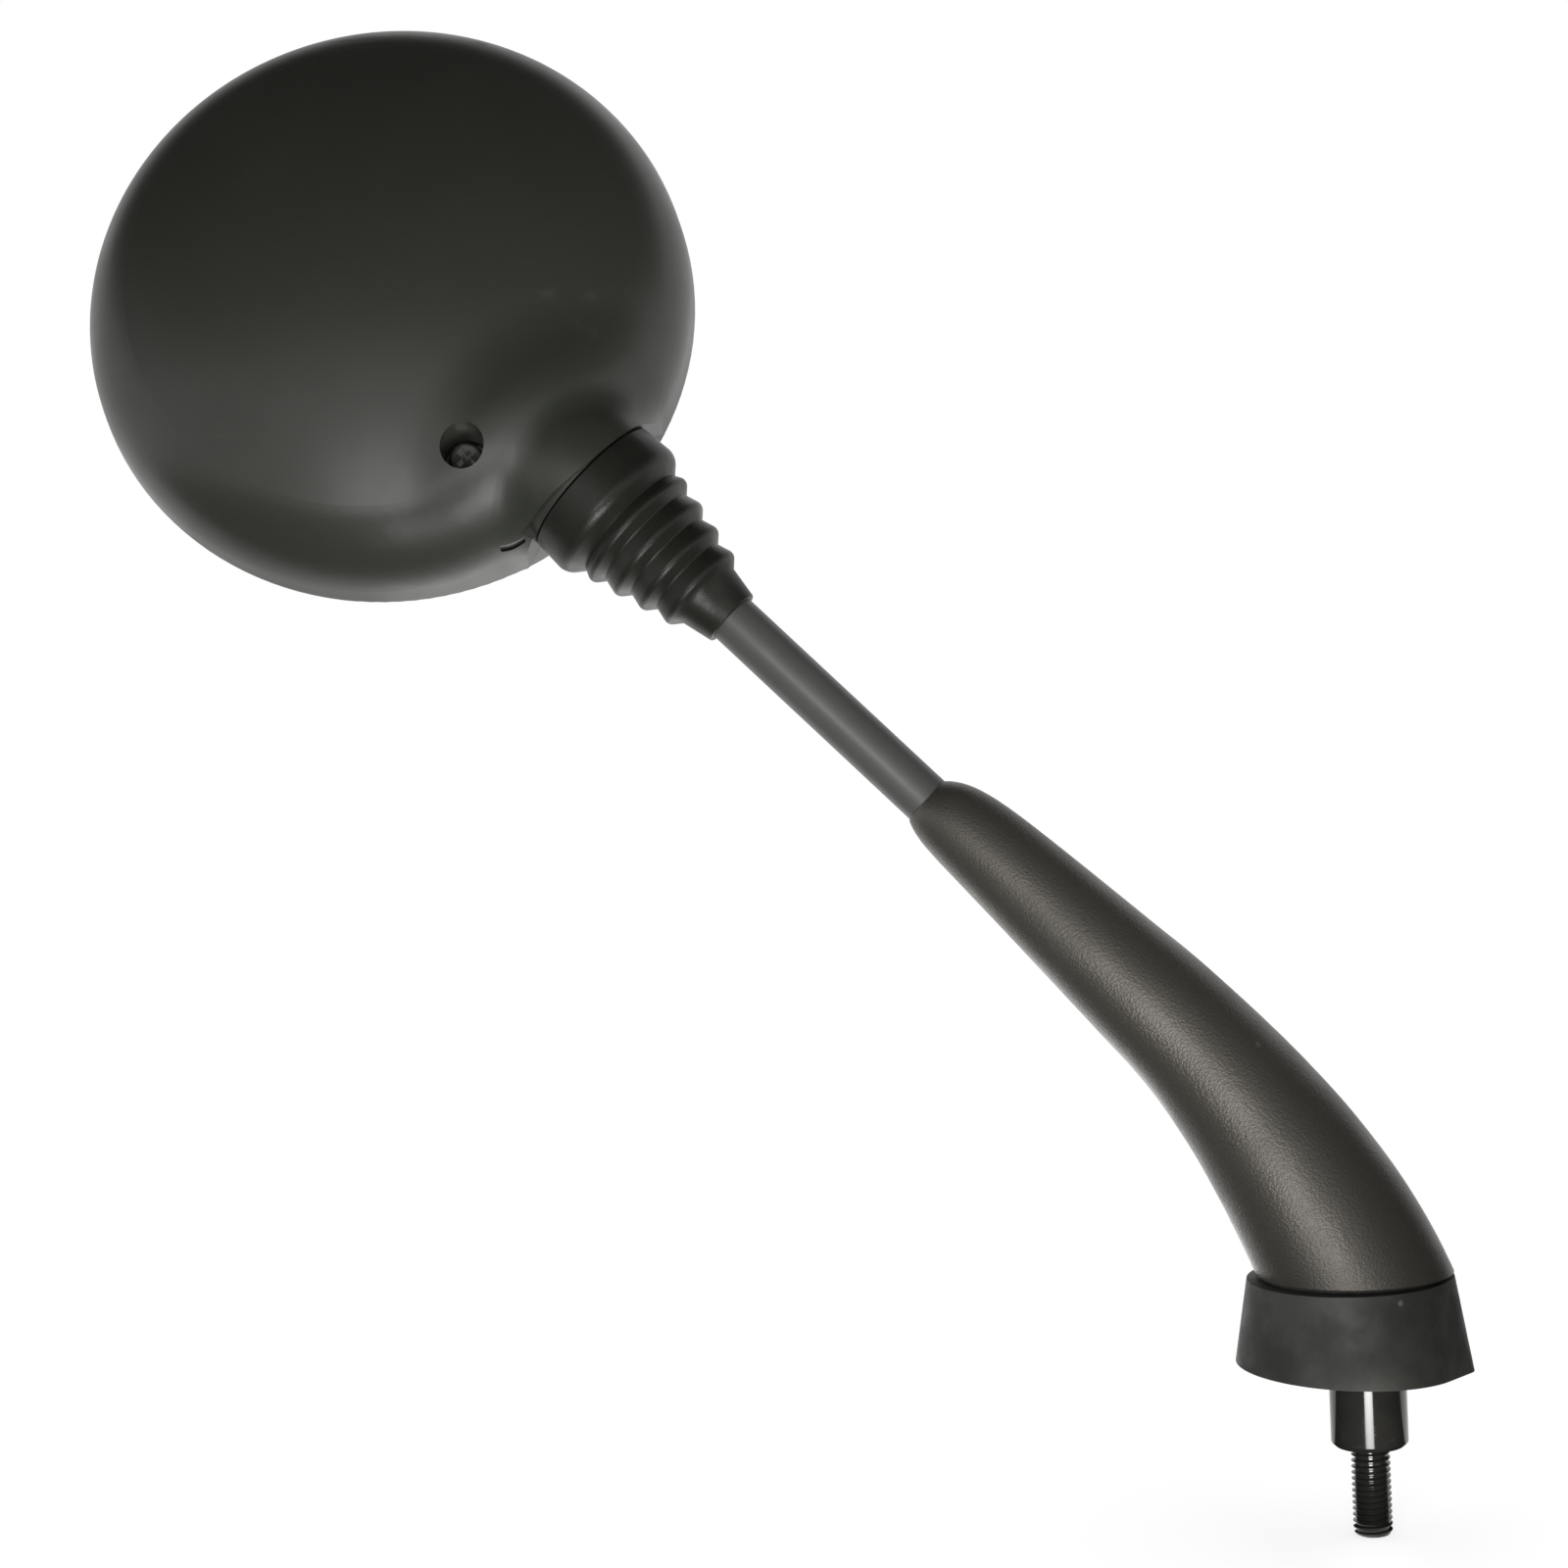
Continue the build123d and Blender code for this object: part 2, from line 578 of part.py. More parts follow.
# Clamp plate: lower jaw with a cup for the ball, a hexagon pocket for the nut and tapper holes
with BuildPart() as clamp_plate:
    with BuildSketch(HEAD.offset(plate_back)):
        with Locations(ball_place):
            Circle(CUP_R)
        with Locations(clamp_place):
            Circle(CLAMP_BOSS_R)
        with Locations(*tapper_places):
            Circle(TAPPER_BOSS_R)
        make_hull()
    extrude(amount=PLATE_THICKNESS)
    cup_bottom = BALL_DEPTH - socket_r - CUP_FLOOR
    with BuildSketch(HEAD.offset(cup_bottom)):
        with Locations(ball_place):
            Circle(CUP_R)
    extrude(amount=plate_face - cup_bottom)
    with Locations(ball_centre):
        Sphere(socket_r, mode=Mode.SUBTRACT)
    revolve(passage_section(), axis=STEM_AXIS, mode=Mode.SUBTRACT)
    with BuildSketch(HEAD.offset(plate_back)):
        with Locations(clamp_place):
            Circle(screw_hole_r)
        with Locations(*tapper_places):
            Circle(TAPPER_D / 2 + SCREW_CLEARANCE)
    extrude(amount=PLATE_THICKNESS, mode=Mode.SUBTRACT)
    with BuildSketch(HEAD.offset(plate_back)):
        with Locations(clamp_place):
            RegularPolygon(NUT_FLATS / 2 + NUT_CLEARANCE, 6, major_radius=False)
    extrude(amount=NUT_SUNK, mode=Mode.SUBTRACT)
    split(bisect_by=STEM_END.offset(jaw_end), keep=Keep.BOTTOM)
clamp_plate.part.label = "clamp_plate"

# Clamp screw: pan head with a cross recess, seen at the bottom of the recess in the back
with BuildPart() as clamp_screw:
    with BuildSketch(HEAD.offset(screw_seat)):
        with Locations(clamp_place):
            Circle(SCREW_HEAD_D / 2)
    extrude(amount=SCREW_HEAD_HEIGHT)
    fillet(clamp_screw.faces().sort_by(HEAD_AXIS)[-1].edges(), SCREW_HEAD_ROUND)
    with BuildSketch(HEAD.offset(screw_seat)):
        with Locations(clamp_place):
            Circle(SCREW_D / 2)
    extrude(amount=nut_bottom - SCREW_TAIL - screw_seat)
    with BuildSketch(HEAD.offset(screw_seat + SCREW_HEAD_HEIGHT)):
        with Locations(clamp_place):
            Rectangle(CROSS_LENGTH, CROSS_WIDTH)
            Rectangle(CROSS_WIDTH, CROSS_LENGTH)
    extrude(amount=-CROSS_DEPTH, mode=Mode.SUBTRACT)
clamp_screw.part.label = "clamp_screw"

# Spring washer under the screw's head
with BuildPart() as spring_washer:
    with BuildSketch(HEAD.offset(recess_floor)):
        with Locations(clamp_place):
            Circle(screw_hole_r + WASHER_WALL)
            Circle(screw_hole_r, mode=Mode.SUBTRACT)
            with Locations((screw_hole_r + WASHER_WALL / 2, 0)):
                Rectangle(2 * WASHER_WALL, WASHER_SLIT, mode=Mode.SUBTRACT)
    extrude(amount=WASHER_HEIGHT)
spring_washer.part.label = "spring_washer"

# Nut in the clamp plate's pocket
with BuildPart() as clamp_nut:
    with BuildSketch(HEAD.offset(nut_bottom)):
        with Locations(clamp_place):
            RegularPolygon(NUT_FLATS / 2, 6, major_radius=False)
            Circle(SCREW_D / 2 + ROD_CLEARANCE, mode=Mode.SUBTRACT)
    extrude(amount=NUT_HEIGHT)
clamp_nut.part.label = "clamp_nut"

# Two self-tapping screws that hold the clamp plate's hinge side
with BuildPart() as plate_screws:
    with BuildSketch(HEAD.offset(plate_back)):
        with Locations(*tapper_places):
            Circle(TAPPER_D / 2 - ROD_CLEARANCE)
    extrude(amount=TAPPER_LENGTH)
    with BuildSketch(HEAD.offset(plate_back)):
        with Locations(*tapper_places):
            Circle(TAPPER_HEAD_D / 2)
    extrude(amount=-TAPPER_HEAD_HEIGHT)
plate_screws.part.label = "plate_screws"

# Ball seat: slit nylon liner round the ball, open towards the neck
with BuildPart() as ball_seat:
    with BuildSketch(STEM_SIDE) as liner_section:
        with BuildLine():
            inner = CenterArc((0, 0), liner_in_r, liner_mouth, LINER_BACK_ANGLE - liner_mouth)
            outer = CenterArc((0, 0), liner_out_r, liner_mouth, LINER_BACK_ANGLE - liner_mouth)
            Line(inner @ 0, outer @ 0)
            Line(inner @ 1, outer @ 1)
        make_face()
    revolve(axis=STEM_AXIS)
    with BuildSketch(STEM_END.offset(-liner_out_r)):
        with Locations((0, liner_out_r)):
            Rectangle(LINER_SLIT, liner_out_r)
    extrude(amount=2 * liner_out_r, mode=Mode.SUBTRACT)
ball_seat.part.label = "ball_seat"

# Glass carrier: backing plate with a stiffening rib, notched for the boot's lip
with BuildPart() as glass_carrier:
    edge_rise = GLASS_CURVE - sqrt(GLASS_CURVE**2 - carrier_r**2)
    with BuildSketch(HEAD_SIDE):
        with BuildLine():
            Line((0, carrier_back), (0, carrier_front))
            TangentArc((0, carrier_front), (carrier_r, carrier_front + edge_rise), tangent=(1, 0))
            Line((carrier_r, carrier_front + edge_rise), (carrier_r, carrier_back))
            Line((carrier_r, carrier_back), (0, carrier_back))
        make_face()
    revolve(axis=HEAD_AXIS)
    rib_in_r = CARRIER_RIB_R - CARRIER_RIB_WALL
    rib_top = carrier_back + CARRIER_RIB_HEIGHT
    revolve(ring_section(rib_in_r, CARRIER_RIB_R, carrier_back, rib_top), axis=HEAD_AXIS)
    notch_r = lip_room_r + NOTCH_CLEARANCE
    notch = [(0, 0), (0, notch_r), (MOUTH_REACH, notch_r), (MOUTH_REACH, 0)]
    revolve(polygon_section(STEM_SIDE, notch), axis=STEM_AXIS, mode=Mode.SUBTRACT)
glass_carrier.part.label = "glass_carrier"

# Adhesive pad between carrier and glass
with BuildPart() as adhesive_pad:
    pad_front = glass_back + PAD_CLEARANCE
    revolve(lens_section(pad_r, pad_front, PAD_THICKNESS), axis=HEAD_AXIS)
adhesive_pad.part.label = "adhesive_pad"

# Mirror glass
with BuildPart() as mirror_glass:
    revolve(lens_section(glass_r, -GLASS_PROUD, GLASS_THICKNESS), axis=HEAD_AXIS)
mirror_glass.part.label = "mirror_glass"

# Bellows boot: lip and neck in the mouth, flange against the head, shrinking rings and a cuff on the rod
ring_step = (RING_FIRST_R - RING_LAST_R) / (RING_COUNT - 1)
fold = [(boot_face + RING_FIRST - RING_RISE, RING_FIRST_R - FIRST_VALLEY_DEPTH)]
for ring in range(RING_COUNT):
    crest = boot_face + RING_FIRST + RING_PITCH * ring
    crest_r = RING_FIRST_R - ring_step * ring
    fold.append((crest, crest_r))
    fold.append((crest + RING_FALL, crest_r - VALLEY_DEPTH))
cuff_r = rod_r + CUFF_CLEARANCE + CUFF_WALL
cuff_bore_r = rod_r + CUFF_CLEARANCE
cuff_start = fold[-1][0]
cuff_end = cuff_start + CUFF_LENGTH
flange_end = boot_face + FLANGE_LENGTH
outside = [
    (lip_start, BOOT_LIP_R),
    (lip_end, BOOT_LIP_R),
    (lip_end, BOOT_NECK_R),
    (boot_face, BOOT_NECK_R),
    (boot_face, FLANGE_R - FLANGE_TAPER),
    (flange_end, FLANGE_R),
    *fold,
    (cuff_end, cuff_r),
]
inside = [
    (cuff_end, cuff_bore_r),
    (cuff_start, cuff_bore_r),
    *[(reach, radius - BOOT_WALL) for reach, radius in reversed(fold[:-1])],
    (flange_end - BOOT_WALL, FLANGE_R - BOOT_WALL),
    (boot_face + BOOT_WALL, FLANGE_R - FLANGE_TAPER - BOOT_WALL),
    (boot_face + BOOT_WALL, BOOT_THROAT_R),
    (lip_start, BOOT_THROAT_R),
]
with BuildPart() as bellows_boot:
    with BuildSketch(STEM_SIDE) as boot_section:
        with BuildLine():
            Polyline(*outside, *inside, close=True)
        make_face()
        for reach, radius in fold:
            fillet(boot_section.vertices().sort_by_distance((reach, radius))[0], RING_ROUND)
        fillet(boot_section.vertices().sort_by_distance((flange_end, FLANGE_R))[0], FLANGE_ROUND)
    revolve(axis=STEM_AXIS)
bellows_boot.part.label = "bellows_boot"

pieces = (
    mount_stud,
    stem_rod,
    pivot_ball,
    arm_sleeve,
    base_rubber,
    bellows_boot,
    ball_seat,
    head_housing,
    clamp_plate,
    clamp_screw,
    spring_washer,
    clamp_nut,
    plate_screws,
    glass_carrier,
    adhesive_pad,
    mirror_glass,
)
os.makedirs("parts", exist_ok=True)
for piece in pieces:
    export_step(piece.part, f"parts/{piece.part.label}.step")
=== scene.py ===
"""Looks of a round-headed motorcycle mirror: its finishes, cut thread, folding boot and studio."""

import json
import logging
import math
from collections.abc import Callable
from dataclasses import dataclass
from enum import Enum

import bmesh
import bpy
from mathutils import Matrix, Vector

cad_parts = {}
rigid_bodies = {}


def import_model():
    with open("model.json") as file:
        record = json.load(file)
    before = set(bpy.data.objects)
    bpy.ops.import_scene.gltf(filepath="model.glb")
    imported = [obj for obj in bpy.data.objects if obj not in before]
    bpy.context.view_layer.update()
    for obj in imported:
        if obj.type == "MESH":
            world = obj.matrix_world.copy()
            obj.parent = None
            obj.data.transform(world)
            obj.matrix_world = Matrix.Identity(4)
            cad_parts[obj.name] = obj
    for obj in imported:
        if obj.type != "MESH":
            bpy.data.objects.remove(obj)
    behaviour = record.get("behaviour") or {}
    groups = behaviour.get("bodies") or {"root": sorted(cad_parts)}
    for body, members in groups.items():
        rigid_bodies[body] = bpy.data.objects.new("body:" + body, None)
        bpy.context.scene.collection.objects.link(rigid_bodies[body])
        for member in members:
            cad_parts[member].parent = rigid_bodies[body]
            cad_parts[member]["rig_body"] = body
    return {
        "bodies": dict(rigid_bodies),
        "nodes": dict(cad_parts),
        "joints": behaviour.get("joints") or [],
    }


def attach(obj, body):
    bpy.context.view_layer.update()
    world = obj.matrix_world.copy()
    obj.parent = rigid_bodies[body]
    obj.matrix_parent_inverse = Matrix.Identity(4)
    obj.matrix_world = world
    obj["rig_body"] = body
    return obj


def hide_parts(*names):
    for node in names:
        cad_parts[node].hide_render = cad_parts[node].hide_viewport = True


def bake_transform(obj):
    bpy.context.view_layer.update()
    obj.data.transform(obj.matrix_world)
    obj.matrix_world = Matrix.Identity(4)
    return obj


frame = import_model()

LOG = logging.getLogger("mirror")
MM = 0.001
WHITE = (1.0, 1.0, 1.0)
QUARTER_TURN = math.radians(90)
UP = (0, 0, 1)
DOWN = (0, 0, -1)

Colour = tuple[float, float, float]
Point = tuple[float, float, float]
Band = tuple[float, float]
Outline = list[tuple[float, float]]
Socket = bpy.types.NodeSocket
Piece = bpy.types.Object


class Effect(Enum):
    """Shared surface effects, each made once as a node group."""

    GRAIN = "fine_grain"
    MOTTLE = "soft_mottle"
    SCUFFS = "rubbed_marks"
    SPECKS = "dust_specks"


class Carving(Enum):
    """Ways in which a tool shapes a piece."""

    JOIN = "UNION"
    CUT = "DIFFERENCE"
    OVERLAP = "INTERSECT"


class Wiring:
    """Adds nodes to one node tree and joins them."""

    # Places of the colours among a Mix node's sockets
    MIX_FIRST = 6
    MIX_SECOND = 7
    MIX_RESULT = 2

    def __init__(self, tree: bpy.types.NodeTree) -> None:
        """Keeps the tree that nodes are added to.

        Args:
            tree: Node tree of a material, a world or a group.
        """
        self.tree = tree

    def node(self, kind: str, settings: dict | None = None, **inputs: object) -> bpy.types.Node:
        """Adds a node, sets its properties, and fills or joins its inputs.

        Args:
            kind: Type name of the node.
            settings: Properties of the node itself.
            **inputs: Sockets to join or values to set, by input name with _ for spaces.

        Returns:
            The new node.
        """
        made = self.tree.nodes.new(kind)
        for name, value in (settings or {}).items():
            setattr(made, name, value)
        for name, value in inputs.items():
            self.feed(made.inputs[name.replace("_", " ")], value)
        return made

    def feed(self, socket: Socket, value: object) -> None:
        """Joins a socket to an input, or sets the input to a value.

        Args:
            socket: Input to fill.
            value: Socket to join, or a number or colour to set.
        """
        if isinstance(value, Socket):
            self.tree.links.new(value, socket)
        elif isinstance(value, tuple) and socket.type == "RGBA":
            socket.default_value = (*value, 1.0)
        else:
            socket.default_value = value

    def sum_of(self, operation: str, first: object, second: object) -> Socket:
        """Joins two values by one arithmetic step.

        Args:
            operation: Blender's name of the step, such as MULTIPLY.
            first: Socket or number.
            second: Socket or number.

        Returns:
            Socket of the result.
        """
        made = self.node("ShaderNodeMath", {"operation": operation})
        self.feed(made.inputs[0], first)
        self.feed(made.inputs[1], second)
        return made.outputs[0]

    def between(self, mask: Socket, first: object, second: object) -> Socket:
        """Mixes two colours by a mask.

        Args:
            mask: Socket from 0, the first colour, to 1, the second.
            first: Socket or colour.
            second: Socket or colour.

        Returns:
            Socket of the mixed colour.
        """
        made = self.node("ShaderNodeMix", {"data_type": "RGBA"})
        self.feed(made.inputs[0], mask)
        self.feed(made.inputs[self.MIX_FIRST], first)
        self.feed(made.inputs[self.MIX_SECOND], second)
        return made.outputs[self.MIX_RESULT]

    def spread(self, value: Socket, given: Band, wanted: Band = (0.0, 1.0)) -> Socket:
        """Stretches a range of values to another one, smoothly and clamped.

        Args:
            value: Socket to stretch.
            given: Lower and upper end of what comes in.
            wanted: What each of the two ends becomes.

        Returns:
            Socket of the stretched value.
        """
        made = self.node("ShaderNodeMapRange", {"interpolation_type": "SMOOTHSTEP"}, Value=value)
        made.inputs["From Min"].default_value, made.inputs["From Max"].default_value = given
        made.inputs["To Min"].default_value, made.inputs["To Max"].default_value = wanted
        return made.outputs["Result"]


class EffectLibrary:
    """Makes each shared effect once and hands it out."""

    TOOTH_FINENESS = 1.7
    TOOTH_DETAIL = 2.0
    CLOUD_DETAIL = 4.0
    CLOUD_ROUGHNESS = 0.55
    CLOUD_BAND = (0.32, 0.68)
    STREAK_TURN = (0.3, 0.5, 0.8)
    STREAK_STRETCH = (1.0, 7.0, 7.0)
    STREAK_DETAIL = 5.0
    STREAK_BAND = (0.58, 0.74)
    PATCH_FINENESS = 0.4
    PATCH_DETAIL = 2.0
    PATCH_BAND = (0.48, 0.66)
    DOT_BAND = (0.05, 0.11)
    DOT_RARITY = 0.8

    def __init__(self) -> None:
        """Starts with no group made."""
        self.groups: dict[Effect, bpy.types.NodeTree] = {}

    def mask(self, wiring: Wiring, effect: Effect, place: Socket, size: float) -> Socket:
        """Puts an effect's group into a material.

        Args:
            wiring: Wiring of the material.
            effect: Which effect to place.
            place: Socket of the coordinates.
            size: Size of the pattern in metres.

        Returns:
            Socket of the effect's mask.
        """
        if effect not in self.groups:
            self.groups[effect] = self._make(effect)
        settings = {"node_tree": self.groups[effect]}
        return wiring.node("ShaderNodeGroup", settings, Place=place, Scale=1 / size).outputs["Mask"]

    def _make(self, effect: Effect) -> bpy.types.NodeTree:
        """Makes the group of one effect.

        Args:
            effect: Which effect to make.

        Returns:
            The group's node tree.
        """
        makers = {
            Effect.GRAIN: self._grain,
            Effect.MOTTLE: self._mottle,
            Effect.SCUFFS: self._scuffs,
            Effect.SPECKS: self._specks,
        }
        tree = bpy.data.node_groups.new(effect.value, "ShaderNodeTree")
        tree.interface.new_socket("Place", in_out="INPUT", socket_type="NodeSocketVector")
        tree.interface.new_socket("Scale", in_out="INPUT", socket_type="NodeSocketFloat")
        tree.interface.new_socket("Mask", in_out="OUTPUT", socket_type="NodeSocketFloat")
        wiring = Wiring(tree)
        given = wiring.node("NodeGroupInput")
        mask = makers[effect](wiring, given.outputs["Place"], given.outputs["Scale"])
        wiring.node("NodeGroupOutput", Mask=mask)
        return tree

    @staticmethod
    def _noise(wiring: Wiring, place: Socket, scale: Socket, detail: float, **inputs: float) -> Socket:
        """Adds a noise.

        Args:
            wiring: Wiring of the effect's group.
            place: Socket of the coordinates.
            scale: Socket of the noise's scale.
            detail: How many finer layers the noise has.
            **inputs: Values for its other inputs.

        Returns:
            Socket of the noise.
        """
        noise = wiring.node("ShaderNodeTexNoise", Vector=place, Scale=scale, Detail=detail, **inputs)
        return noise.outputs["Fac"]

    def _grain(self, wiring: Wiring, place: Socket, scale: Socket) -> Socket:
        """Close-set pebbles with a finer tooth between them.

        Args:
            wiring: Wiring of the effect's group.
            place: Socket of the coordinates.
            scale: Socket of the pattern's scale.

        Returns:
            Socket of the grain's height.
        """
        pebbles = wiring.node("ShaderNodeTexVoronoi", {"feature": "SMOOTH_F1"}, Vector=place, Scale=scale)
        tooth_scale = wiring.sum_of("MULTIPLY", scale, self.TOOTH_FINENESS)
        tooth = self._noise(wiring, place, tooth_scale, self.TOOTH_DETAIL)
        return wiring.sum_of("ADD", pebbles.outputs["Distance"], tooth)

    def _mottle(self, wiring: Wiring, place: Socket, scale: Socket) -> Socket:
        """Broad cloudy patches with soft edges.

        Args:
            wiring: Wiring of the effect's group.
            place: Socket of the coordinates.
            scale: Socket of the pattern's scale.

        Returns:
            Socket of the patches' mask.
        """
        clouds = self._noise(wiring, place, scale, self.CLOUD_DETAIL, Roughness=self.CLOUD_ROUGHNESS)
        return wiring.spread(clouds, self.CLOUD_BAND)

    def _scuffs(self, wiring: Wiring, place: Socket, scale: Socket) -> Socket:
        """Sparse rubbed streaks, kept to patches.

        Args:
            wiring: Wiring of the effect's group.
            place: Socket of the coordinates.
            scale: Socket of the pattern's scale.

        Returns:
            Socket of the streaks' mask.
        """
        drawn = wiring.node(
            "ShaderNodeMapping", Vector=place, Rotation=self.STREAK_TURN, Scale=self.STREAK_STRETCH
        )
        streaks = self._noise(wiring, drawn.outputs["Vector"], scale, self.STREAK_DETAIL)
        lines = wiring.spread(streaks, self.STREAK_BAND)
        patch_scale = wiring.sum_of("MULTIPLY", scale, self.PATCH_FINENESS)
        patches = self._noise(wiring, place, patch_scale, self.PATCH_DETAIL)
        return wiring.sum_of("MULTIPLY", lines, wiring.spread(patches, self.PATCH_BAND))

    def _specks(self, wiring: Wiring, place: Socket, scale: Socket) -> Socket:
        """Sparse small dots, each cell of the surface holding one at most.

        Args:
            wiring: Wiring of the effect's group.
            place: Socket of the coordinates.
            scale: Socket of the pattern's scale.

        Returns:
            Socket of the dots' mask.
        """
        cells = wiring.node("ShaderNodeTexVoronoi", Vector=place, Scale=scale, Randomness=1.0)
        dots = wiring.spread(cells.outputs["Distance"], self.DOT_BAND, (1.0, 0.0))
        chance = wiring.node("ShaderNodeSeparateColor", Color=cells.outputs["Color"]).outputs["Red"]
        return wiring.sum_of("MULTIPLY", dots, wiring.sum_of("GREATER_THAN", chance, self.DOT_RARITY))


@dataclass(frozen=True)
class Finish:
    """One surface finish. Sizes are in metres; a grain, scuff or speck size of 0 leaves that effect out."""

    name: str
    colour: Colour
    shade: Colour
    roughness: float
    roughness_swing: float = 0.06
    metallic: float = 0.0
    specular: float = 0.5
    specular_tint: Colour = WHITE
    mottle_size: float = 20 * MM
    grain_size: float = 0.0
    grain_depth: float = 0.0
    scuff_size: float = 0.0
    scuff_colour: Colour = WHITE
    scuff_roughness: float = 0.12
    speck_size: float = 0.0
    speck_colour: Colour = WHITE

    def material(self, library: EffectLibrary) -> bpy.types.Material:
        """Makes the finish as a node material.

        Args:
            library: Source of the shared effects.

        Returns:
            The new material.
        """
        made = bpy.data.materials.new(self.name)
        made.use_nodes = True
        made.node_tree.nodes.clear()
        wiring = Wiring(made.node_tree)
        place = wiring.node("ShaderNodeTexCoord").outputs["Object"]
        mottle = library.mask(wiring, Effect.MOTTLE, place, self.mottle_size)
        colour = wiring.between(mottle, self.shade, self.colour)
        ends = (self.roughness + self.roughness_swing, self.roughness - self.roughness_swing)
        roughness = wiring.spread(mottle, (0.0, 1.0), ends)
        if self.scuff_size:
            scuffs = library.mask(wiring, Effect.SCUFFS, place, self.scuff_size)
            colour = wiring.between(scuffs, colour, self.scuff_colour)
            rubbed = wiring.sum_of("MULTIPLY", scuffs, self.scuff_roughness)
            roughness = wiring.sum_of("ADD", roughness, rubbed)
        if self.speck_size:
            specks = library.mask(wiring, Effect.SPECKS, place, self.speck_size)
            colour = wiring.between(specks, colour, self.speck_colour)
        shader = wiring.node(
            "ShaderNodeBsdfPrincipled",
            Base_Color=colour,
            Roughness=roughness,
            Metallic=self.metallic,
            Specular_IOR_Level=self.specular,
            Specular_Tint=self.specular_tint,
        )
        if self.grain_size:
            grain = library.mask(wiring, Effect.GRAIN, place, self.grain_size)
            bump = wiring.node("ShaderNodeBump", Height=grain, Distance=self.grain_depth, Strength=1.0)
            wiring.feed(shader.inputs["Normal"], bump.outputs["Normal"])
        wiring.node("ShaderNodeOutputMaterial", Surface=shader.outputs["BSDF"])
        return made


HEAD_PLASTIC = Finish(
    "head_satin",
    colour=(0.0295, 0.0312, 0.0248),
    shade=(0.0248, 0.0266, 0.0206),
    roughness=0.37,
    roughness_swing=0.03,
    specular=0.45,
    mottle_size=34 * MM,
    grain_size=0.5 * MM,
    grain_depth=0.006 * MM,
    scuff_size=26 * MM,
    scuff_colour=(0.036, 0.038, 0.031),
)
ARM_PLASTIC = Finish(
    "arm_grained_satin",
    colour=(0.038, 0.0355, 0.0298),
    shade=(0.0305, 0.0295, 0.0248),
    roughness=0.4,
    roughness_swing=0.05,
    specular=0.62,
    specular_tint=(1.0, 0.93, 0.86),
    mottle_size=26 * MM,
    grain_size=0.55 * MM,
    grain_depth=0.062 * MM,
    speck_size=9 * MM,
    speck_colour=(0.06, 0.057, 0.05),
)
INNER_PLASTIC = Finish(
    "inner_plastic",
    colour=(0.016, 0.016, 0.016),
    shade=(0.012, 0.012, 0.012),
    roughness=0.5,
    grain_size=0.6 * MM,
    grain_depth=0.02 * MM,
)
BOOT_RUBBER = Finish(
    "boot_rubber",
    colour=(0.0155, 0.0162, 0.0126),
    shade=(0.0112, 0.0118, 0.0092),
    roughness=0.37,
    roughness_swing=0.05,
    specular=0.22,
    mottle_size=7 * MM,
    grain_size=0.5 * MM,
    grain_depth=0.02 * MM,
    scuff_size=14 * MM,
    scuff_colour=(0.024, 0.0246, 0.0205),
)
BASE_RUBBER = Finish(
    "base_rubber",
    colour=(0.0345, 0.035, 0.0302),
    shade=(0.0215, 0.0228, 0.019),
    roughness=0.6,
    specular=0.35,
    mottle_size=9 * MM,
    grain_size=0.45 * MM,
    grain_depth=0.02 * MM,
    scuff_size=16 * MM,
    scuff_colour=(0.048, 0.048, 0.042),
    speck_size=8 * MM,
    speck_colour=(0.09, 0.09, 0.085),
)
ROD_PAINT = Finish(
    "rod_semi_gloss_black",
    colour=(0.068, 0.068, 0.0655),
    shade=(0.059, 0.0592, 0.057),
    roughness=0.4,
    roughness_swing=0.04,
    mottle_size=16 * MM,
    grain_size=0.7 * MM,
    grain_depth=0.003 * MM,
)
BLACK_STEEL = Finish(
    "stud_gloss_black",
    colour=(0.0145, 0.0142, 0.0126),
    shade=(0.0112, 0.0112, 0.01),
    roughness=0.12,
    roughness_swing=0.03,
    specular=0.6,
    mottle_size=6 * MM,
    scuff_size=7 * MM,
    scuff_colour=(0.03, 0.029, 0.027),
)
SCREW_BLACK = Finish(
    "screw_blackened",
    colour=(0.23, 0.23, 0.222),
    shade=(0.16, 0.16, 0.154),
    roughness=0.2,
    roughness_swing=0.05,
    metallic=0.85,
    mottle_size=2.5 * MM,
    grain_size=0.5 * MM,
    grain_depth=0.003 * MM,
)
ZINC_STEEL = Finish(
    "zinc_plate",
    colour=(0.62, 0.62, 0.6),
    shade=(0.5, 0.5, 0.47),
    roughness=0.3,
    roughness_swing=0.08,
    metallic=1.0,
    mottle_size=4 * MM,
    scuff_size=6 * MM,
    scuff_colour=(0.42, 0.41, 0.38),
)
NYLON = Finish(
    "natural_nylon",
    colour=(0.82, 0.8, 0.72),
    shade=(0.75, 0.73, 0.64),
    roughness=0.4,
    roughness_swing=0.05,
    mottle_size=6 * MM,
    grain_size=0.5 * MM,
    grain_depth=0.01 * MM,
)
FOAM = Finish(
    "foam_tape",
    colour=(0.1, 0.1, 0.1),
    shade=(0.07, 0.07, 0.07),
    roughness=0.85,
    roughness_swing=0.05,
    specular=0.2,
    mottle_size=5 * MM,
    grain_size=0.8 * MM,
    grain_depth=0.08 * MM,
)
SILVERED_GLASS = Finish(
    "silvered_glass",
    colour=(0.72, 0.75, 0.77),
    shade=(0.7, 0.73, 0.75),
    roughness=0.03,
    roughness_swing=0.01,
    metallic=1.0,
    mottle_size=40 * MM,
)

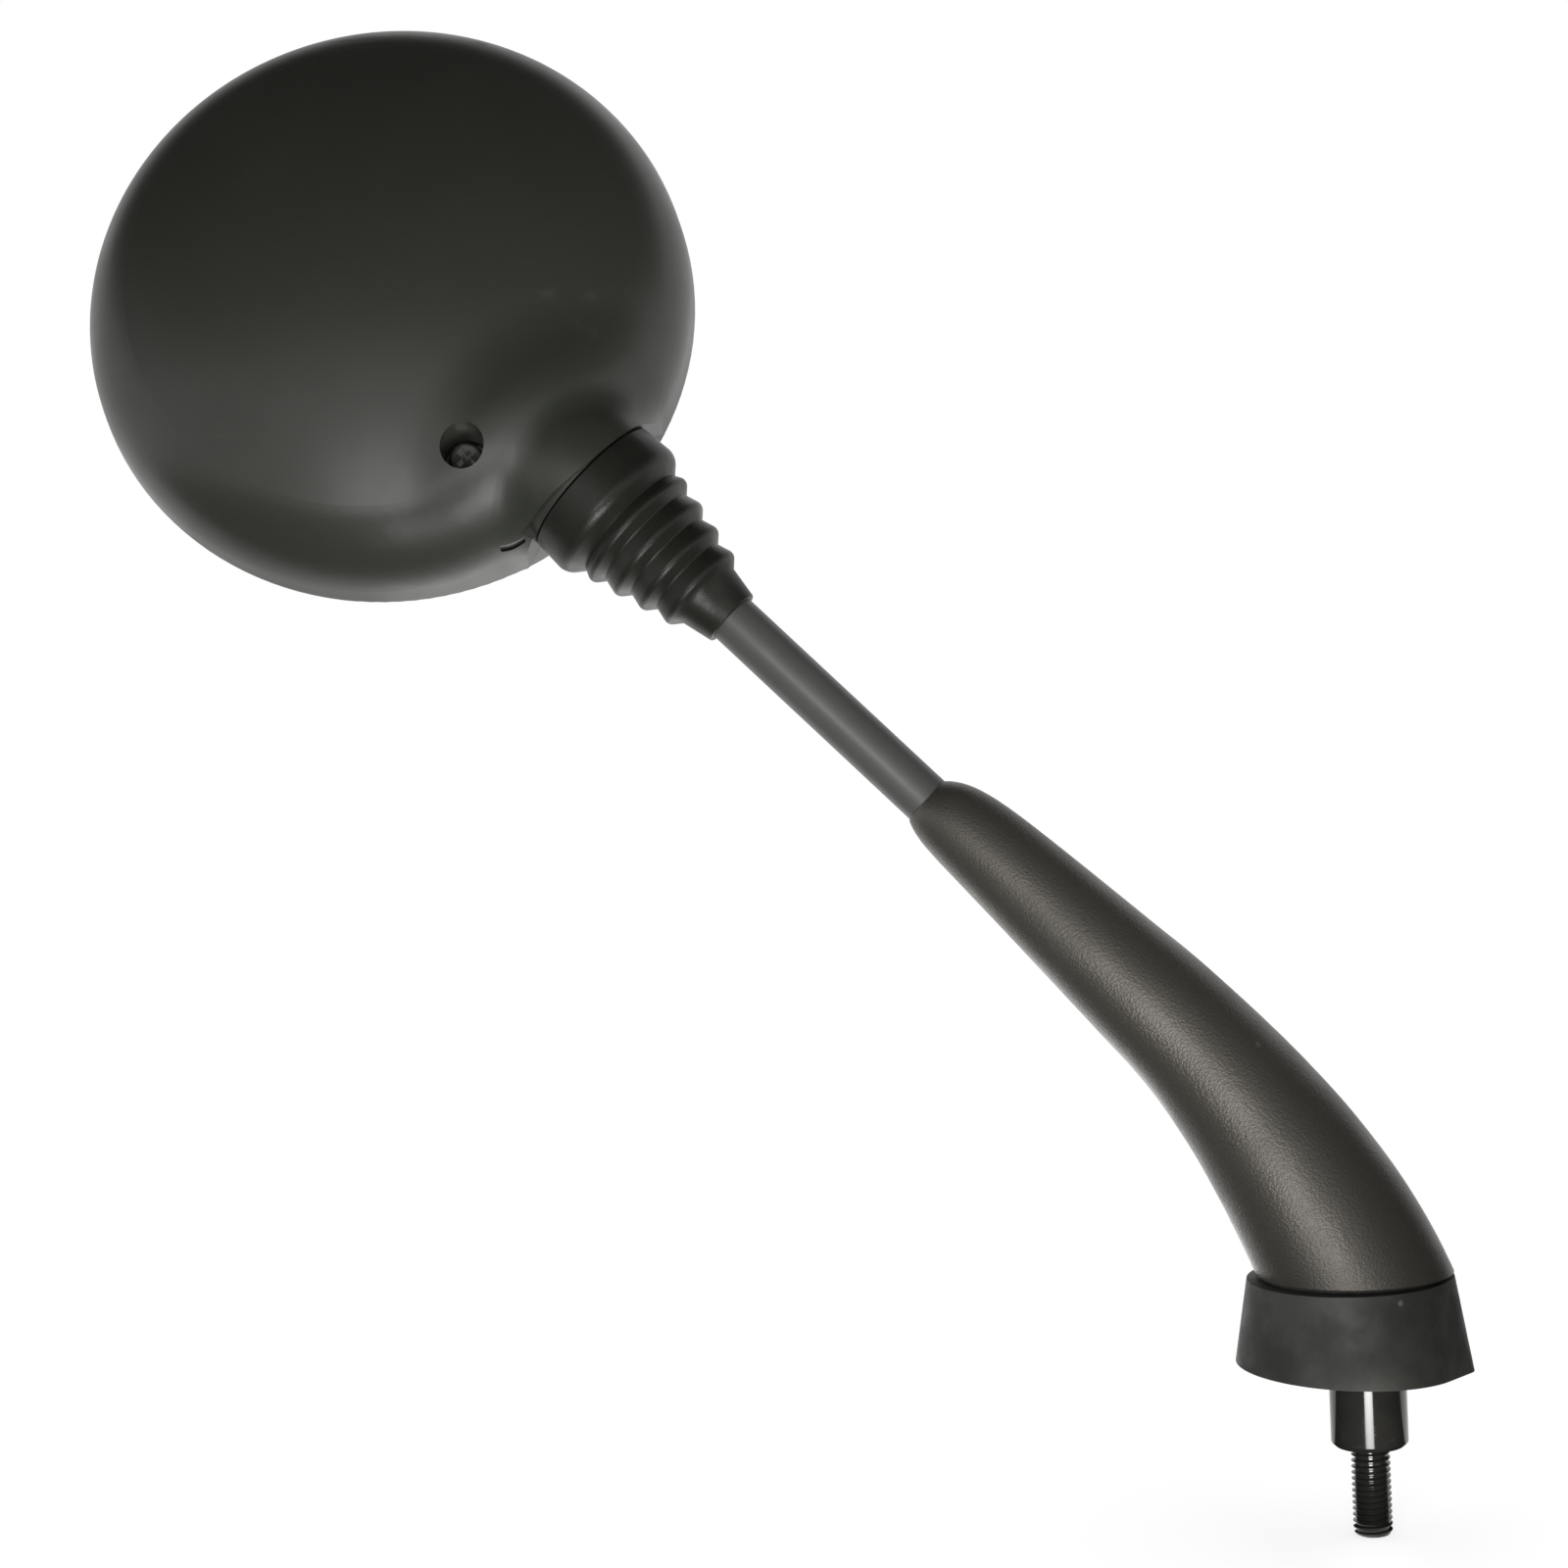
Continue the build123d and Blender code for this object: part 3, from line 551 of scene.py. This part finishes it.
NODE_FINISHES: dict[str, Finish] = {
    "stem_rod": ROD_PAINT,
    "pivot_ball": ZINC_STEEL,
    "arm_sleeve": ARM_PLASTIC,
    "base_rubber": BASE_RUBBER,
    "ball_seat": NYLON,
    "head_housing": HEAD_PLASTIC,
    "clamp_plate": INNER_PLASTIC,
    "clamp_screw": SCREW_BLACK,
    "spring_washer": ZINC_STEEL,
    "clamp_nut": ZINC_STEEL,
    "plate_screws": ZINC_STEEL,
    "glass_carrier": INNER_PLASTIC,
    "adhesive_pad": FOAM,
    "mirror_glass": SILVERED_GLASS,
}


class FinishRack:
    """Makes each finish's material once."""

    def __init__(self) -> None:
        """Starts with no material made."""
        self.library = EffectLibrary()
        self.made: dict[str, bpy.types.Material] = {}

    def dress(self, piece: Piece, finish: Finish) -> None:
        """Gives a piece one finish all over.

        Args:
            piece: Piece to dress.
            finish: Finish it takes.
        """
        if finish.name not in self.made:
            self.made[finish.name] = finish.material(self.library)
        piece.data.materials.clear()
        piece.data.materials.append(self.made[finish.name])


class Bench:
    """Mesh work on one piece, by the operators that a modeller uses."""

    RING_MARGIN = 0.02 * MM

    @staticmethod
    def clear_selection() -> None:
        """Leaves edit mode and deselects everything."""
        if bpy.context.object and bpy.context.object.mode != "OBJECT":
            bpy.ops.object.mode_set(mode="OBJECT")
        bpy.ops.object.select_all(action="DESELECT")

    @classmethod
    def pick(cls, piece: Piece) -> None:
        """Makes one piece the only selected and active one.

        Args:
            piece: Piece to pick.
        """
        cls.clear_selection()
        piece.select_set(True)
        bpy.context.view_layer.objects.active = piece

    @classmethod
    def turned(cls, name: str, outline: Outline, sides: int, closed: bool) -> Piece:
        """Draws a circle up through an outline, as on a lathe round Z, and closes it.

        Args:
            name: Name of the new piece.
            outline: Heights and radii in order.
            sides: Number of sides of the circle.
            closed: Whether the last ring joins the first, or each end is filled.

        Returns:
            The new piece in object mode, still round Z.
        """
        cls.clear_selection()
        height, radius = outline[0]
        bpy.ops.mesh.primitive_circle_add(vertices=sides, radius=radius, location=(0, 0, height))
        piece = bpy.context.object
        piece.name = piece.data.name = name
        bpy.ops.object.mode_set(mode="EDIT")
        bpy.ops.mesh.select_all(action="SELECT")
        for next_height, next_radius in outline[1:]:
            rise = (0, 0, next_height - height)
            bpy.ops.mesh.extrude_region_move(TRANSFORM_OT_translate={"value": rise})
            share = next_radius / radius
            bpy.ops.transform.resize(value=(share, share, 1), center_override=(0, 0, next_height))
            height, radius = next_height, next_radius
        cls.pick_edges(piece, lambda edge: edge.is_boundary)
        if closed:
            bpy.ops.mesh.bridge_edge_loops()
        else:
            bpy.ops.mesh.fill_holes(sides=0)
        bpy.ops.mesh.select_all(action="SELECT")
        bpy.ops.mesh.normals_make_consistent(inside=False)
        bpy.ops.object.mode_set(mode="OBJECT")
        cls.settle(piece)
        return piece

    @staticmethod
    def pick_edges(piece: Piece, wanted: Callable[[bmesh.types.BMEdge], bool]) -> None:
        """Selects the edges of a piece in edit mode that pass a test.

        Args:
            piece: Piece in edit mode.
            wanted: Test that takes an edge.
        """
        bpy.ops.mesh.select_mode(type="EDGE")
        bpy.ops.mesh.select_all(action="DESELECT")
        mesh = bmesh.from_edit_mesh(piece.data)
        for edge in mesh.edges:
            if wanted(edge):
                edge.select_set(True)
        mesh.select_flush_mode()
        bmesh.update_edit_mesh(piece.data)

    @classmethod
    def round_rings(cls, piece: Piece, rings: Outline, offset: float, segments: int) -> None:
        """Bevels the rings of a turned piece that stand at given heights and radii.

        Args:
            piece: Turned piece round Z, in object mode.
            rings: Heights and radii of the rings.
            offset: Width of the bevel.
            segments: Number of bevel steps.
        """

        def on_ring(edge: bmesh.types.BMEdge) -> bool:
            """Tells whether both ends of an edge lie on one of the rings."""
            ends = [Vector((end.co.z, math.hypot(end.co.x, end.co.y))) for end in edge.verts]
            return any(all((end - Vector(ring)).length < cls.RING_MARGIN for end in ends) for ring in rings)

        cls.pick(piece)
        bpy.ops.object.mode_set(mode="EDIT")
        cls.pick_edges(piece, on_ring)
        bpy.ops.mesh.bevel(offset=offset, segments=segments, affect="EDGES")
        bpy.ops.object.mode_set(mode="OBJECT")

    @classmethod
    def settle(cls, piece: Piece, place: Matrix | None = None) -> None:
        """Moves a piece to its place and keeps that place in its mesh.

        Args:
            piece: Piece to settle.
            place: Where its own origin and axes go, or None to leave it there.
        """
        cls.pick(piece)
        if place is not None:
            piece.matrix_world = place @ piece.matrix_world
        bpy.ops.object.transform_apply(location=True, rotation=True, scale=True)

    @classmethod
    def smooth(cls, piece: Piece, angle: float) -> None:
        """Shades a piece smooth up to an angle in degrees."""
        cls.pick(piece)
        bpy.ops.object.shade_smooth_by_angle(angle=math.radians(angle))

    @classmethod
    def even_normals(cls, piece: Piece) -> None:
        """Keeps a piece's wide faces flat in shading, so that only its rounded edges turn the light.

        Args:
            piece: Piece that is already shaded smooth.
        """
        cls.pick(piece)
        even = piece.modifiers.new("even_normals", "WEIGHTED_NORMAL")
        even.keep_sharp = True
        bpy.ops.object.modifier_apply(modifier=even.name)

    @classmethod
    def carve(cls, piece: Piece, tool: Piece, way: Carving) -> None:
        """Joins, cuts or overlaps a piece with a tool, which is used up.

        Args:
            piece: Piece that stays.
            tool: Piece that is used up.
            way: How the tool shapes the piece.
        """
        cls.pick(piece)
        cut = piece.modifiers.new("carve", "BOOLEAN")
        cut.operation = way.value
        cut.object = tool
        cut.solver = "EXACT"
        bpy.ops.object.modifier_apply(modifier=cut.name)
        bpy.data.objects.remove(tool)


@dataclass
class MountStud:
    """Turned stud: gloss collar, hexagon and shank over a cut thread.

    Heights start at the collar's lower face. The flank and the crest are shares of the thread's pitch, and
    the lead-in is a number of pitches. The blank flares past the thread, so that their faces don't coincide,
    and the cut's margin is far smaller than the thread's steps, so that its ends close. A join with an open
    thread can lose the collar.
    """

    thread_r: float = 4.0 * MM
    thread_root_r: float = 3.32 * MM
    thread_pitch: float = 1.25 * MM
    thread_flank: float = 0.32
    thread_crest: float = 0.12
    thread_end: float = -18.6 * MM
    thread_top: float = 0.6 * MM
    thread_steps: int = 48
    spare_turns: int = 3
    spare_end: float = 0.3 * MM
    lead_in: float = 1.5
    seed_size: float = 0.1 * MM
    weld_gap: float = 0.01 * MM
    cut_margin: float = 0.0001 * MM
    blank_top: float = 0.5 * MM
    blank_flare: float = 0.1 * MM
    end_round: float = 1.3 * MM
    end_steps: int = 6
    collar_r: float = 7.9 * MM
    collar_chamfer: float = 0.9 * MM
    collar_top: float = 20.0 * MM
    edge_round: float = 0.25 * MM
    edge_steps: int = 3
    hexagon_sides: int = 6
    hexagon_flats: float = 19.0 * MM
    hexagon_top: float = 27.0 * MM
    shank_r: float = 7.5 * MM
    shank_top: float = 33.5 * MM
    bore_r: float = 5.45 * MM
    bore_floor: float = 14.0 * MM
    bore_overrun: float = 1.0 * MM
    sides: int = 96
    smooth_angle: float = 32.0
    piece: Piece | None = None

    def build(self) -> None:
        """Makes the stud as one closed mesh."""
        stud = self._body()
        Bench.carve(stud, self._hexagon(), Carving.JOIN)
        Bench.carve(stud, self._bore(), Carving.CUT)
        Bench.carve(stud, self._thread(), Carving.JOIN)
        stud.name = stud.data.name = "mount_stud_turned"
        Bench.smooth(stud, self.smooth_angle)
        self.piece = stud

    def _body(self) -> Piece:
        """Turns the collar and the shank, with a chamfer.

        Returns:
            The body as one closed mesh.
        """
        outline = [
            (0.0, self.collar_r - self.collar_chamfer),
            (self.collar_chamfer, self.collar_r),
            (self.collar_top, self.collar_r),
            (self.collar_top, self.shank_r),
            (self.shank_top, self.shank_r),
        ]
        chamfer_rings = outline[:2]
        body = Bench.turned("stud_body", outline, self.sides, closed=False)
        Bench.round_rings(body, chamfer_rings, self.edge_round, self.edge_steps)
        return body

    def _hexagon(self) -> Piece:
        """Makes the spanner hexagon above the collar.

        Returns:
            The hexagon as one closed mesh.
        """
        corner_r = self.hexagon_flats / math.sqrt(3)
        outline = [(self.collar_top, corner_r), (self.hexagon_top, corner_r)]
        return Bench.turned("stud_hexagon", outline, self.hexagon_sides, closed=False)

    def _bore(self) -> Piece:
        """Makes the form of the bore that the rod is pressed into."""
        outline = [(self.bore_floor, self.bore_r), (self.shank_top + self.bore_overrun, self.bore_r)]
        return Bench.turned("stud_bore", outline, self.sides, closed=False)

    def _thread_line(self) -> Piece:
        """Draws the zigzag up the thread's side, for the helix to sweep.

        Returns:
            The line, in object mode and active.
        """
        turns = math.ceil(-self.thread_end / self.thread_pitch) + self.spare_turns
        bottom = self.thread_end - self.lead_in * self.thread_pitch
        depth = self.thread_r - self.thread_root_r
        flank = self.thread_pitch * self.thread_flank
        crest = self.thread_pitch * self.thread_crest
        root = self.thread_pitch - 2 * flank - crest
        Bench.clear_selection()
        bpy.ops.mesh.primitive_plane_add(size=self.seed_size, location=(self.thread_root_r, 0, bottom))
        line = bpy.context.object
        bpy.ops.object.mode_set(mode="EDIT")
        bpy.ops.mesh.merge(type="CENTER")
        bpy.ops.mesh.select_all(action="SELECT")
        for _ in range(turns):
            for step in ((depth, 0, flank), (0, 0, crest), (-depth, 0, flank), (0, 0, root)):
                bpy.ops.mesh.extrude_vertices_move(TRANSFORM_OT_translate={"value": step})
        bpy.ops.object.mode_set(mode="OBJECT")
        Bench.settle(line)
        return line

    def _blank(self) -> Piece:
        """Turns the bar with a rounded end that the thread is cut from.

        Returns:
            The bar as one closed mesh.
        """
        outline = [(self.thread_end, self.thread_r - self.end_round)]
        for step in range(1, self.end_steps + 1):
            turn = QUARTER_TURN * step / self.end_steps
            height = self.thread_end + self.end_round * (1 - math.cos(turn))
            outline.append((height, self.thread_r - self.end_round * (1 - math.sin(turn))))
        outline.append((self.blank_top, self.thread_r + self.blank_flare))
        return Bench.turned("stud_blank", outline, self.sides, closed=False)

    def _thread(self) -> Piece:
        """Makes the helical thread, cut to length and rounded at its end.

        Returns:
            The thread as one closed mesh.
        """
        thread = self._thread_line()
        sweep = thread.modifiers.new("helix", "SCREW")
        sweep.axis = "Z"
        sweep.screw_offset = self.thread_pitch
        sweep.steps = sweep.render_steps = self.thread_steps
        bpy.ops.object.modifier_apply(modifier=sweep.name)
        bpy.ops.object.mode_set(mode="EDIT")
        bpy.ops.mesh.select_all(action="SELECT")
        bpy.ops.mesh.remove_doubles(threshold=self.weld_gap)
        for height, way in ((self.thread_end - self.spare_end, DOWN), (self.thread_top, UP)):
            bpy.ops.mesh.select_all(action="SELECT")
            bpy.ops.mesh.bisect(
                plane_co=(0, 0, height),
                plane_no=way,
                use_fill=True,
                clear_outer=True,
                threshold=self.cut_margin,
            )
        bpy.ops.mesh.select_all(action="SELECT")
        bpy.ops.mesh.normals_make_consistent(inside=False)
        bpy.ops.object.mode_set(mode="OBJECT")
        Bench.carve(thread, self._blank(), Carving.OVERLAP)
        return thread

    def dress(self, rack: FinishRack) -> None:
        """Gives the stud its gloss black and puts it in the CAD stud's place.

        Args:
            rack: Source of the materials.
        """
        rack.dress(self.piece, BLACK_STEEL)
        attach(self.piece, "stem")
        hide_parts("mount_stud")


@dataclass
class BellowsBoot:
    """Rubber boot in two pieces that meet in a fold.

    The place takes Z at the origin to the stem's way in at the ball's centre, and reaches run along that
    way. Crests count from the head's side. bend_crest, the crest after whose valley the bend was to start, is
    not used.
    """

    place: Matrix
    wall: float = 0.7 * MM
    lip_start: float = 7.4 * MM
    lip_end: float = 8.3 * MM
    lip_r: float = 12.3 * MM
    neck_r: float = 11.4 * MM
    throat_r: float = 10.7 * MM
    flange_start: float = 11.3 * MM
    flange_end: float = 19.7 * MM
    flange_r: float = 17.1 * MM
    flange_taper: float = 0.5 * MM
    flange_round: float = 1.6 * MM
    flange_steps: int = 5
    face_round: float = 0.35 * MM
    face_steps: int = 3
    first_valley: float = 22.7 * MM
    first_valley_r: float = 13.6 * MM
    ring_count: int = 4
    ring_first: float = 25.2 * MM
    ring_pitch: float = 6.05 * MM
    ring_first_r: float = 14.8 * MM
    ring_shrink: float = 1.5 * MM
    ring_fall: float = 2.2 * MM
    valley_depth: float = 2.5 * MM
    crest_round: float = 0.9 * MM
    crest_steps: int = 6
    valley_round: float = 0.3 * MM
    valley_steps: int = 3
    cuff_length: float = 7.0 * MM
    cuff_r: float = 6.45 * MM
    cuff_bore_r: float = 5.45 * MM
    cuff_round: float = 0.3 * MM
    cuff_steps: int = 3
    bend_crest: int = 3
    sides: int = 112
    smooth_angle: float = 38.0
    flange: Piece | None = None
    folds: Piece | None = None

    def _crests(self) -> Outline:
        """Gives the crests' reaches and radii, from the head's side."""
        return [
            (self.ring_first + ring * self.ring_pitch, self.ring_first_r - ring * self.ring_shrink)
            for ring in range(self.ring_count)
        ]

    def _valleys(self) -> Outline:
        """Gives the reach and radius of the valley after each crest."""
        return [(reach + self.ring_fall, radius - self.valley_depth) for reach, radius in self._crests()]

    def _seam(self) -> Outline:
        """Gives the outer and inner edge of the seam in the first valley, which both pieces share."""
        radii = (self.first_valley_r, self.first_valley_r - self.wall)
        return [(self.first_valley, radius) for radius in radii]

    def build(self) -> None:
        """Makes both pieces round the stem."""
        self.folds = self._make_folds()
        self.flange = self._make_flange()
        for piece in (self.folds, self.flange):
            Bench.settle(piece, self.place)
            Bench.smooth(piece, self.smooth_angle)
            Bench.even_normals(piece)

    def _make_folds(self) -> Piece:
        """Turns the folds and the cuff, round Z.

        Returns:
            The piece as one closed mesh.
        """
        seam_outer, seam_inner = self._seam()
        crests, valleys = self._crests(), self._valleys()
        rings = [ring for pair in zip(crests, valleys) for ring in pair]
        cuff_start = valleys[-1][0]
        cuff_end = cuff_start + self.cuff_length
        cuff_edge = (cuff_end, self.cuff_r)
        inside = [(reach, radius - self.wall) for reach, radius in reversed(rings[:-1])]
        cuff_bore = [(cuff_end, self.cuff_bore_r), (cuff_start, self.cuff_bore_r)]
        outline = [seam_outer, *rings, cuff_edge, *cuff_bore, *inside, seam_inner]
        folds = Bench.turned("boot_folds", outline, self.sides, closed=True)
        Bench.round_rings(folds, crests, self.crest_round, self.crest_steps)
        Bench.round_rings(folds, valleys[:-1], self.valley_round, self.valley_steps)
        Bench.round_rings(folds, [cuff_edge], self.cuff_round, self.cuff_steps)
        return folds

    def _make_flange(self) -> Piece:
        """Turns the flange with the neck and the lip that hold it in the head's mouth, round Z.

        Returns:
            The piece as one closed mesh.
        """
        face_r = self.flange_r - self.flange_taper
        face_edge = (self.flange_start, face_r)
        flange_edge = (self.flange_end, self.flange_r)
        outline = [
            (self.lip_start, self.lip_r),
            (self.lip_end, self.lip_r),
            (self.lip_end, self.neck_r),
            (self.flange_start, self.neck_r),
            face_edge,
            flange_edge,
            *self._seam(),
            (self.flange_end - self.wall, self.flange_r - self.wall),
            (self.flange_start + self.wall, face_r - self.wall),
            (self.flange_start + self.wall, self.throat_r),
            (self.lip_start, self.throat_r),
        ]
        flange = Bench.turned("boot_flange", outline, self.sides, closed=True)
        Bench.round_rings(flange, [flange_edge], self.flange_round, self.flange_steps)
        Bench.round_rings(flange, [face_edge], self.face_round, self.face_steps)
        return flange

    def dress(self, rack: FinishRack) -> None:
        """Gives both pieces their rubber, hides the CAD boot and keeps each piece's place in its mesh.

        Args:
            rack: Source of the materials.
        """
        for piece in (self.folds, self.flange):
            rack.dress(piece, BOOT_RUBBER)
            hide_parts("bellows_boot")
        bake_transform(self.folds)
        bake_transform(self.flange)


@dataclass(frozen=True)
class SoftBox:
    """Soft box of the studio, turned to a point.

    Its place, size and aim are in metres, its power is in watts, and its beam's full angle is in degrees.
    """

    name: str
    place: Point
    size: tuple[float, float]
    power: float
    aim: Point
    beam: float = 180.0

    def build(self) -> None:
        """Makes the lamp; gloss shows it, and the eye doesn't."""
        lamp = bpy.data.lights.new(self.name, "AREA")
        lamp.shape = "RECTANGLE"
        lamp.size, lamp.size_y = self.size
        lamp.energy = self.power
        lamp.spread = math.radians(self.beam)
        stand = bpy.data.objects.new(self.name, lamp)
        bpy.context.scene.collection.objects.link(stand)
        stand.location = self.place
        way = Vector(self.place) - Vector(self.aim)
        stand.rotation_euler = way.to_track_quat("Z", "Y").to_euler()
        stand.visible_camera = False


@dataclass(frozen=True)
class Flag:
    """Dark card that only gloss shows; level, or turned about Y by an angle in degrees."""

    name: str
    place: Point
    size: tuple[float, float]
    turn: float = 0.0


@dataclass
class Studio:
    """Pale floor, white surround, soft boxes, and dark flags over, under and beside the view."""

    floor_height: float = -18.7 * MM
    floor_size: float = 12.0
    floor_colour: float = 0.8
    floor_glow: float = 0.66
    card_colour: float = 0.01
    ambient: float = 0.45
    boxes: tuple[SoftBox, ...] = (
        SoftBox("front_box", (-0.11, -0.9, 0.065), (0.4, 0.22), 2.3, (-0.1, 0.0, 0.12)),
        SoftBox("low_box", (-0.03, -0.27, -0.012), (0.19, 0.16), 1.55, (-0.03, -0.27, 1.0)),
        SoftBox("stud_strip", (0.0017, -0.042, -0.002), (0.016, 0.03), 0.0036, (0.0, 0.0, 0.003), 56.0),
        SoftBox("rim_box", (-0.14, 0.2, -0.012), (0.26, 0.2), 0.25, (-0.14, 0.2, 1.0)),
    )
    flags: tuple[Flag, ...] = (
        Flag("overhead_flag", (-0.05, -0.5, 0.95), (3.4, 2.2)),
        Flag("floor_flag", (0.2, -0.77, -0.016), (2.4, 1.6)),
        Flag("side_flag", (0.12, -0.01, 0.08), (0.19, 0.26), 90.0),
    )

    def build(self) -> None:
        """Makes the surround, the floor, the flags and the lamps."""
        self._surround()
        self._floor()
        dark = self._dark_card()
        for flag in self.flags:
            self._flag(flag, dark)
        for box in self.boxes:
            box.build()

    @staticmethod
    def _seen(wiring: Wiring) -> Socket:
        """Makes a value that is 1 for what the camera, gloss and glass see, and 0 for light on matt surfaces.

        Args:
            wiring: Wiring of the material or world that uses it.

        Returns:
            Socket of the value.
        """
        path = wiring.node("ShaderNodeLightPath")
        direct = wiring.sum_of("MAXIMUM", path.outputs["Is Camera Ray"], path.outputs["Is Glossy Ray"])
        return wiring.sum_of("MAXIMUM", direct, path.outputs["Is Transmission Ray"])

    def _surround(self) -> None:
        """Makes the world white to the eye and in reflections, and a plain grey light on the object."""
        world = bpy.data.worlds.new("surround")
        world.use_nodes = True
        world.node_tree.nodes.clear()
        wiring = Wiring(world.node_tree)
        strength = wiring.spread(self._seen(wiring), (0.0, 1.0), (self.ambient, 1.0))
        light = wiring.node("ShaderNodeBackground", Color=WHITE, Strength=strength)
        wiring.node("ShaderNodeOutputWorld", Surface=light.outputs["Background"])
        bpy.context.scene.world = world

    @staticmethod
    def _plate(name: str, size: tuple[float, float], place: Point, turn: float = 0.0) -> Piece:
        """Makes a flat rectangle that belongs to the studio.

        Args:
            name: Name of the rectangle.
            size: Its width and depth.
            place: Its middle.
            turn: Angle in degrees by which it is turned about Y.

        Returns:
            The new object.
        """
        Bench.clear_selection()
        bpy.ops.mesh.primitive_plane_add(size=1.0, location=place)
        plate = bpy.context.object
        plate.name = plate.data.name = name
        plate.scale = (*size, 1.0)
        plate.rotation_euler = (0.0, math.radians(turn), 0.0)
        Bench.settle(plate)
        return plate

    def _floor(self) -> None:
        """Makes the pale floor, which is white to the eye and keeps the shadow."""
        floor = self._plate("floor", (self.floor_size, self.floor_size), (0, 0, self.floor_height))
        made = bpy.data.materials.new("pale_floor")
        made.use_nodes = True
        made.node_tree.nodes.clear()
        wiring = Wiring(made.node_tree)
        matt = wiring.node("ShaderNodeBsdfDiffuse", Color=(self.floor_colour,) * 3)
        lift = wiring.sum_of("MULTIPLY", self._seen(wiring), self.floor_glow)
        glow = wiring.node("ShaderNodeEmission", Color=WHITE, Strength=lift)
        both = wiring.node("ShaderNodeAddShader")
        wiring.feed(both.inputs[0], matt.outputs["BSDF"])
        wiring.feed(both.inputs[1], glow.outputs["Emission"])
        wiring.node("ShaderNodeOutputMaterial", Surface=both.outputs["Shader"])
        floor.data.materials.append(made)

    def _dark_card(self) -> bpy.types.Material:
        """Makes the matt black of the flags.

        Returns:
            The new material.
        """
        made = bpy.data.materials.new("dark_card")
        made.use_nodes = True
        made.node_tree.nodes.clear()
        wiring = Wiring(made.node_tree)
        matt = wiring.node("ShaderNodeBsdfDiffuse", Color=(self.card_colour,) * 3)
        wiring.node("ShaderNodeOutputMaterial", Surface=matt.outputs["BSDF"])
        return made

    def _flag(self, flag: Flag, dark: bpy.types.Material) -> None:
        """Makes one flag, which neither the eye, matt surfaces nor shadows see.

        Args:
            flag: Flag to make.
            dark: Its material.
        """
        card = self._plate(flag.name, flag.size, flag.place, flag.turn)
        card.data.materials.append(dark)
        card.visible_camera = False
        card.visible_diffuse = False
        card.visible_shadow = False
        card.visible_transmission = False


@dataclass
class PhotoCamera:
    """Camera at the photograph's viewing angle.

    Angles are in degrees, pixels are those of the photograph's frame, the sensor's width is in millimetres,
    and the place and the nearest and farthest distance are in metres.
    """

    azimuth: float = 12.0
    elevation: float = 3.0
    roll: float = 2.7
    focal_pixels: float = 3300.0
    frame_pixels: float = 1600.0
    sensor: float = 36.0
    nearest: float = 0.01
    farthest: float = 100.0
    place: Point = (0.02501, -0.66502, 0.17569)

    def build(self) -> None:
        """Makes the camera and gives it to the scene."""
        around, above = math.radians(self.azimuth), math.radians(self.elevation)
        towards = Vector((
            math.sin(around) * math.cos(above),
            -math.cos(around) * math.cos(above),
            math.sin(above),
        ))
        level = Vector((math.cos(around), math.sin(around), 0.0))
        upright = towards.cross(level)
        turn = math.radians(self.roll)
        right = level * math.cos(turn) - upright * math.sin(turn)
        up = level * math.sin(turn) + upright * math.cos(turn)
        lens = bpy.data.cameras.new("photo_camera")
        lens.sensor_width = self.sensor
        lens.lens = self.focal_pixels / self.frame_pixels * self.sensor
        lens.clip_start, lens.clip_end = self.nearest, self.farthest
        camera = bpy.data.objects.new("photo_camera", lens)
        bpy.context.scene.collection.objects.link(camera)
        turned = Matrix((right, up, towards)).transposed().to_4x4()
        camera.matrix_world = Matrix.Translation(self.place) @ turned
        bpy.context.scene.camera = camera


def clear_start_scene() -> None:
    """Removes what a new file holds besides the frame."""
    bodies = {body.name for body in frame["bodies"].values()}
    for thing in list(bpy.context.scene.objects):
        if "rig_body" not in thing and thing.name not in bodies:
            bpy.data.objects.remove(thing)


def stem_place() -> Matrix:
    """Finds the stem's place from the joint that turns the head about it.

    Returns:
        Matrix that takes Z at the origin to the stem's way in at the ball's centre.
    """
    spin = next(joint for joint in frame["joints"] if joint["name"] == "head_spin")
    turned = Vector(spin["axis"]).to_track_quat("Z", "Y").to_matrix().to_4x4()
    return Matrix.Translation(spin["pos_m"]) @ turned


def main() -> None:
    """Builds and dresses the mirror, then its studio."""
    clear_start_scene()
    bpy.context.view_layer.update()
    rack = FinishRack()
    for name, finish in NODE_FINISHES.items():
        rack.dress(frame["nodes"][name], finish)
        LOG.info("dressed %s in %s", name, finish.name)
    stud = MountStud()
    stud.build()
    stud.dress(rack)
    LOG.info("made %s", stud.piece.name)
    boot = BellowsBoot(stem_place())
    boot.build()
    boot.dress(rack)
    LOG.info("made %s and %s", boot.folds.name, boot.flange.name)
    Studio().build()
    PhotoCamera().build()
    bpy.context.scene.view_settings.view_transform = "Standard"


if __name__ == "__main__":
    logging.basicConfig(level=logging.INFO)
    main()
